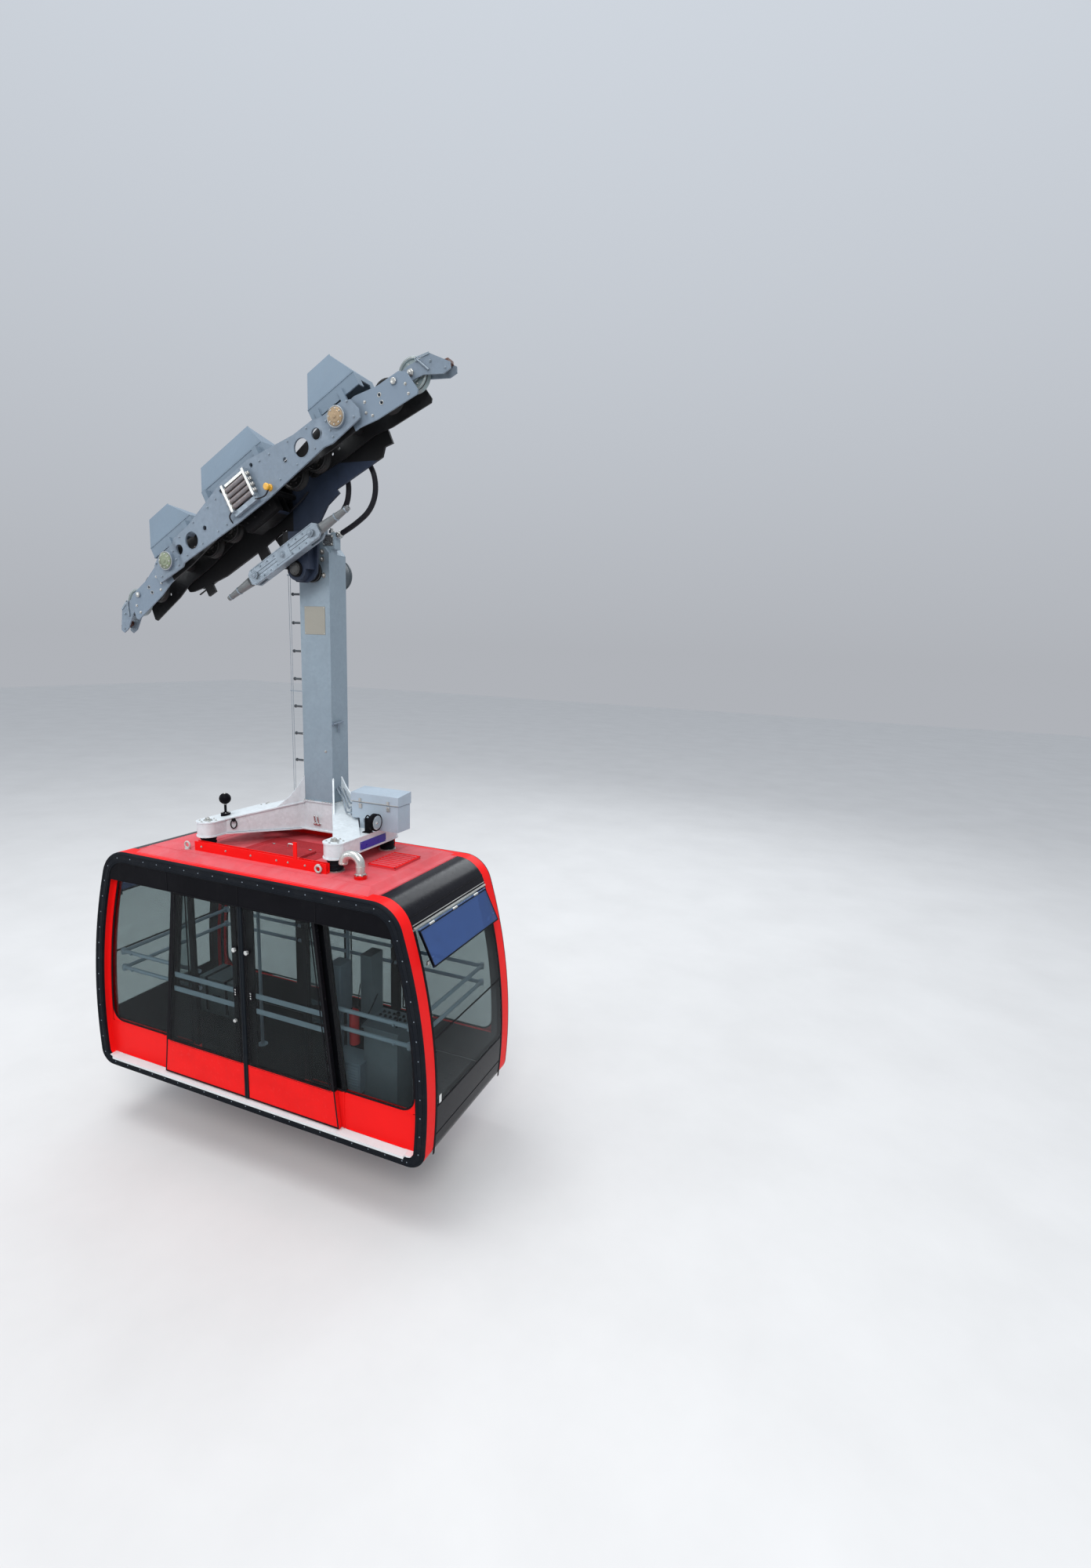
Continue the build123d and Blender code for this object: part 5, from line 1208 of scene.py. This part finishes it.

# hoods: base flanges, ridge strip, rivets
hood_table = [(-1310, -705, -1290, -1005, 728, 300), (-470, 350, -455, 205, 768, 392), (905, 1440, 985, 1245, 755, 300)]
k, kr = Kit(CAR), Kit(CAR)
for b0, b1, r0, r1, top, base in hood_table:
    wall = base + 0.25 * (top - base)
    for t0, t1 in ((-135, -131), (131, 135)):
        k.box(b0 - 2, b1 + 2, t0, t1, base, base + 14)
        k.box(b0, b1, t0, t1, wall - 5, wall + 5)
    k.tube([(r0 - 2, 0, top + 1), (r1 + 2, 0, top + 1)], 6, 8)
    i = b0 + 40
    while i < b1 - 20:
        for t in (-135, 135):
            kr.rivet((i, t, base + 7), (0, math.copysign(1, t), 0), 5)
            kr.rivet((i, t, wall), (0, math.copysign(1, t), 0), 4.5)
        i += 72
k.done("hood_flanges", "hood", "carriage", "hood_grey", 1.0)
kr.done("hood_rivets", "hood", "carriage", "bare_steel")

# haul rope bar: pins with heads, cheek bolts; sockets: collars
k = Kit(CAR)
for s in (-370, 0, 370):
    k.lathe((s, -40 if s == 0 else -54, -400), (0, -1, 0), [(33, 0), (33, 4), (30, 6)], 30)
    k.lathe((s, -44 if s == 0 else -58, -400), (0, -1, 0), [(22, 0), (22, 10), (18, 13)], 6)
    k.lathe((s, -52 if s == 0 else -66, -400), (0, -1, 0), [(12, 0), (12, 8), (8, 11)], 14)
    if s:
        k.lathe((s, 54, -400), (0, 1, 0), [(32, 0), (32, 12)], 6)
for s in (-280, -190, -100, 100, 190, 280):
    for n in (-445, -355):
        k.bolt((s, -40, n), (0, -1, 0), 7)
for s in (-1, 1):
    k.lathe((s * 640, 0, -400), (s, 0, 0), [(36, 0), (37, 10), (35, 14)], 26)
    k.lathe((s * 760, 0, -400), (s, 0, 0), [(28, 0), (29, 8), (26, 12)], 26)
k.done("haul_bar_pins", "galv", "carriage", "bare_steel")
k = Kit(CAR)
for n in (-468, -332):
    k.box(-410, 410, -43.5, -39, n - 4, n + 4)
k.box(-90, 90, -43, -39, -452, -348)
k.done("haul_bar_cheeks", "galv", "carriage", "galvanised_steel", 1.2)

# hanger pin: nut, lock plate
k = Kit(CAR)
k.lathe((0, 44, -530), (0, -1, 0), [(58, 0), (58, 12), (44, 16), (20, 17)], 32)
for a in range(6):
    t = math.radians(60 * a)
    k.bolt((40 * math.cos(t), 32, -530 + 40 * math.sin(t)), (0, -1, 0), 6)
k.ring((0, 185, -530), (0, 1, 0), 97, 6, 40)
k.ring((0, 270, -530), (0, 1, 0), 97, 6, 40)
k.done("pin_head", "bolt_dark", "carriage", "dark_steel")

# rockers: rings and bolts on their cheeks; trucks: axle nuts, keepers, scrapers
for word, sc in (("lower", -1150), ("upper", 1150)):
    body = "rocker_" + word
    k = Kit(CAR)
    out = math.copysign(1, sc)
    for t in (-1, 1):
        for u, v in ((-330, 130), (-250, 130), (395, 66), (405, 128)):
            k.ring((sc + out * u, t * 114, v), (0, 1, 0), 16, 3, 24)
        for u, v in ((260, 160), (232, 80), (275, 28), (650, 60), (640, -20)):
            k.bolt((sc + out * u, t * 114, v), (0, t, 0), 9)
    k.done("rocker_bolts_" + word, "bolt", body, "bare_steel")
truck_s = [-1720, -580, 580, 1720]
for i, sc in enumerate(truck_s):
    body = "truck_%d" % (i + 1)
    k = Kit(CAR)
    for t in (-1, 1):
        for w in (-140, 140):
            k.lathe((sc + w, t * 67, 137.5), (0, t, 0), [(30, -8), (30, 0), (24, 4), (24, 12), (17, 14)], 6)
            k.rivet((sc + w, t * 81, 137.5), (0, t, 0), 9)
        k.lathe((sc, t * 122, 137.5), (0, t, 0), [(25, 0), (25, 6), (19, 9)], 24)
        for s in (-70, 70):
            k.bolt((sc + s, t * 57, 170), (0, t, 0), 6)
            k.bolt((sc + s, t * 57, 104), (0, t, 0), 6)
    k.done("truck_nuts_%d" % (i + 1), "bolt", body, "bare_steel")
    if i in (0, 3):             # scraper block, guide shoes and their links at the rope's way in
        side = -1 if i == 0 else 1
        k = Kit(CAR)
        for t in (-1, 1):
            k.bolt((sc + side * 330, t * 57, 110), (0, t, 0), 9)
            k.bolt((sc + side * 420, t * 57, -10), (0, t, 0), 7)
            k.prism([(sc + side * 215, 196), (sc + side * 250, 206), (sc + side * 352, 176), (sc + side * 345, 160)], "y", *sorted((t * 57, t * 63)))
            k.rod((sc + side * 235, t * 63, 190), (sc + side * 290, t * 63, 60), 8)
            k.ring((sc + side * 235, t * 64, 190), (0, 1, 0), 14, 4)
        k.done("rope_guide_links_%d" % (i + 1), "galv", body, "galvanised_steel")
        k = Kit(CAR)
        k.prism([(sc + side * 390, 24), (sc + side * 462, 24), (sc + side * 470, 50), (sc + side * 400, 70), (sc + side * 380, 50)], "y", -44, 44)
        k.done("rope_scraper_%d" % (i + 1), "brown", body, "spring_steel", 2.0)

# wheels: liner, hub ring, rim ring and bolts
for w in range(8):
    sc = truck_s[w // 2] + (-140 if w % 2 == 0 else 140)
    body = "wheel_%d" % (w + 1)
    k = Kit(CAR)
    for t in (-1, 1):
        for a in range(8):
            th = 2 * math.pi * a / 8
            k.bolt((sc + 82 * math.cos(th), t * 24, 137.5 + 82 * math.sin(th)), (0, t, 0), 6)
        k.ring((sc, t * 35, 137.5), (0, 1, 0), 46, 4.5, 32)
        k.ring((sc, t * 35, 137.5), (0, 1, 0), 122, 3.2, 48)
    # the inner wheels' bolts are black as painted shade
    k.done("wheel_bolts_%d" % (w + 1), "bolt" if w in (0, 7) else "bolt_dark", body, "bare_steel")
    k = Kit(CAR)
    k.lathe((sc, -8, 137.5), (0, 1, 0), [(114.5, 0), (117.0, 0), (117.0, 16), (114.5, 16)], 64)
    k.done("wheel_liner_%d" % (w + 1), "liner", body, "wheel_steel")

# ================================================================ hoses between the carriage and the hanger head
def world(p):
    return CAB @ Vector(p)


HOSE_R = 0.0237
HOSES = {
    "hose_1": [(448, 215, 5733), (466, 222, 5657), (462, 235, 5572), (424, 260, 5477), (336, 290, 5394),
               (212, 320, 5350), (110, 350, 5321)],
    "hose_2": [(653, 215, 5845), (727, 222, 5747), (752, 235, 5627), (722, 260, 5502), (632, 290, 5394),
               (490, 320, 5318), (362, 350, 5266), (254, 370, 5225)],
}
for name, route in HOSES.items():
    curve = bpy.data.curves.new(name + "_line", "CURVE")
    curve.dimensions = "3D"
    curve.resolution_u = 24
    spline = curve.splines.new("NURBS")
    spline.points.add(len(route) - 1)
    for p, q in zip(spline.points, route):
        p.co = (*world(q), 1.0)
    spline.order_u = 3
    spline.use_endpoint_u = True
    holder = bpy.data.objects.new(name + "_line", curve)
    bpy.context.scene.collection.objects.link(holder)
    line = bpy.data.meshes.new_from_object(holder.evaluated_get(bpy.context.evaluated_depsgraph_get()))
    path = [v.co.copy() for v in line.vertices]
    bpy.data.objects.remove(holder)
    k = Kit(Matrix.Identity(4))
    radii = [HOSE_R + 0.0006 * (i % 2) for i in range(len(path))]
    k.tube(path, radii, 20)
    bm = k.bm
    bmesh.ops.recalc_face_normals(bm, faces=bm.faces)
    mesh = bpy.data.meshes.new(name + "_skin")
    bm.to_mesh(mesh)
    bm.free()
    mesh.materials.append(M["hose"])
    mesh.polygons.foreach_set("use_smooth", [True] * len(mesh.polygons))
    hose = bpy.data.objects.new(name + "_skin", mesh)
    bpy.context.scene.collection.objects.link(hose)
    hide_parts(name)
    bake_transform(hose)
    k = Kit(Matrix.Identity(4))
    d = (path[1] - path[0]).normalized()
    k.lathe(path[0] - d * 0.012, d, [(0.033, 0), (0.033, 0.03), (0.028, 0.034), (0.028, 0.06), (0.0255, 0.064)], 24)
    k.done(name + "_ferrule", "silver", "carriage", "bare_steel")

# ================================================================ setting, lights and camera
FLOOR_Z = (ZS + BOT) * MM - 0.62
mesh = bpy.data.meshes.new("floor")
mesh.from_pydata([(-60, -60, FLOOR_Z), (60, -60, FLOOR_Z), (60, 60, FLOOR_Z), (-60, 60, FLOOR_Z)], [], [(0, 1, 2, 3)])
ground = bpy.data.objects.new("floor", mesh)
bpy.context.scene.collection.objects.link(ground)
g = Finish("pale floor")
g.link(g.mix(g.remap(g.noise(0.8, 4), 0.3, 0.7), (0.60, 0.595, 0.59), (0.64, 0.635, 0.63)), g.bsdf.inputs["Base Color"])
g.bsdf.inputs["Roughness"].default_value = 0.75
ground.data.materials.append(g.mat)

world_data = bpy.data.worlds.new("studio")
bpy.context.scene.world = world_data
world_data.use_nodes = True
wt = world_data.node_tree
wt.nodes.clear()
wo = wt.nodes.new("ShaderNodeOutputWorld")
wb = wt.nodes.new("ShaderNodeBackground")
wc = wt.nodes.new("ShaderNodeTexCoord")
ws = wt.nodes.new("ShaderNodeSeparateXYZ")
wr = wt.nodes.new("ShaderNodeValToRGB")
wt.links.new(wc.outputs["Generated"], ws.inputs[0])
wt.links.new(ws.outputs[2], wr.inputs[0])
wr.color_ramp.elements[0].position, wr.color_ramp.elements[0].color = 0.0, (0.515, 0.535, 0.575, 1)
wr.color_ramp.elements[1].position, wr.color_ramp.elements[1].color = 0.7, (0.78, 0.84, 0.92, 1)
wt.links.new(wr.outputs[0], wb.inputs[0])
wb.inputs[1].default_value = 0.84
wt.links.new(wb.outputs[0], wo.inputs[0])


def softbox(name, at, aim, wide, high, power, colour=(1, 1, 1)):
    data = bpy.data.lights.new(name, "AREA")
    data.shape, data.size, data.size_y, data.energy, data.color = "RECTANGLE", wide, high, power, colour
    obj = bpy.data.objects.new(name, data)
    bpy.context.scene.collection.objects.link(obj)
    obj.location = at
    obj.rotation_mode = "QUATERNION"
    obj.rotation_quaternion = (Vector(aim) - Vector(at)).to_track_quat("-Z", "Y")


softbox("key", (9.5, -14.0, 11.0), (0, 0, -2.6), 9, 8, 2250, (1.0, 0.985, 0.96))
softbox("fill", (-14.0, -13.0, 3.0), (0.0, 0, -3.2), 9, 8, 700, (0.95, 0.98, 1.0))
softbox("back", (2.0, 14.0, 6.0), (0, 0, -2.5), 9, 6, 650, (0.93, 0.97, 1.0))
softbox("top", (-3.0, -2.0, 15.0), (0.2, 0, -2.0), 10, 10, 2000)

YAW, PITCH, ROLL = 0.3788, -0.1875, 0.039
look = Vector((-math.sin(YAW) * math.cos(PITCH), math.cos(YAW) * math.cos(PITCH), math.sin(PITCH)))
right = Vector((math.cos(YAW), math.sin(YAW), 0))
up = right.cross(look)
r2 = right * math.cos(ROLL) + up * math.sin(ROLL)
u2 = -right * math.sin(ROLL) + up * math.cos(ROLL)
cam_data = bpy.data.cameras.new("camera")
cam = bpy.data.objects.new("camera", cam_data)
bpy.context.scene.collection.objects.link(cam)
cam.matrix_world = Matrix(((r2.x, u2.x, -look.x, 4.9749), (r2.y, u2.y, -look.y, -5.3919), (r2.z, u2.z, -look.z, -1.0903), (0, 0, 0, 1)))
cam_data.sensor_fit = "AUTO"
cam_data.sensor_width = 36.0
cam_data.lens = 912.0 / 2000.0 * 36.0
cam_data.clip_start, cam_data.clip_end = 0.05, 200
bpy.context.scene.camera = cam
bpy.context.scene.view_settings.view_transform = "Standard"
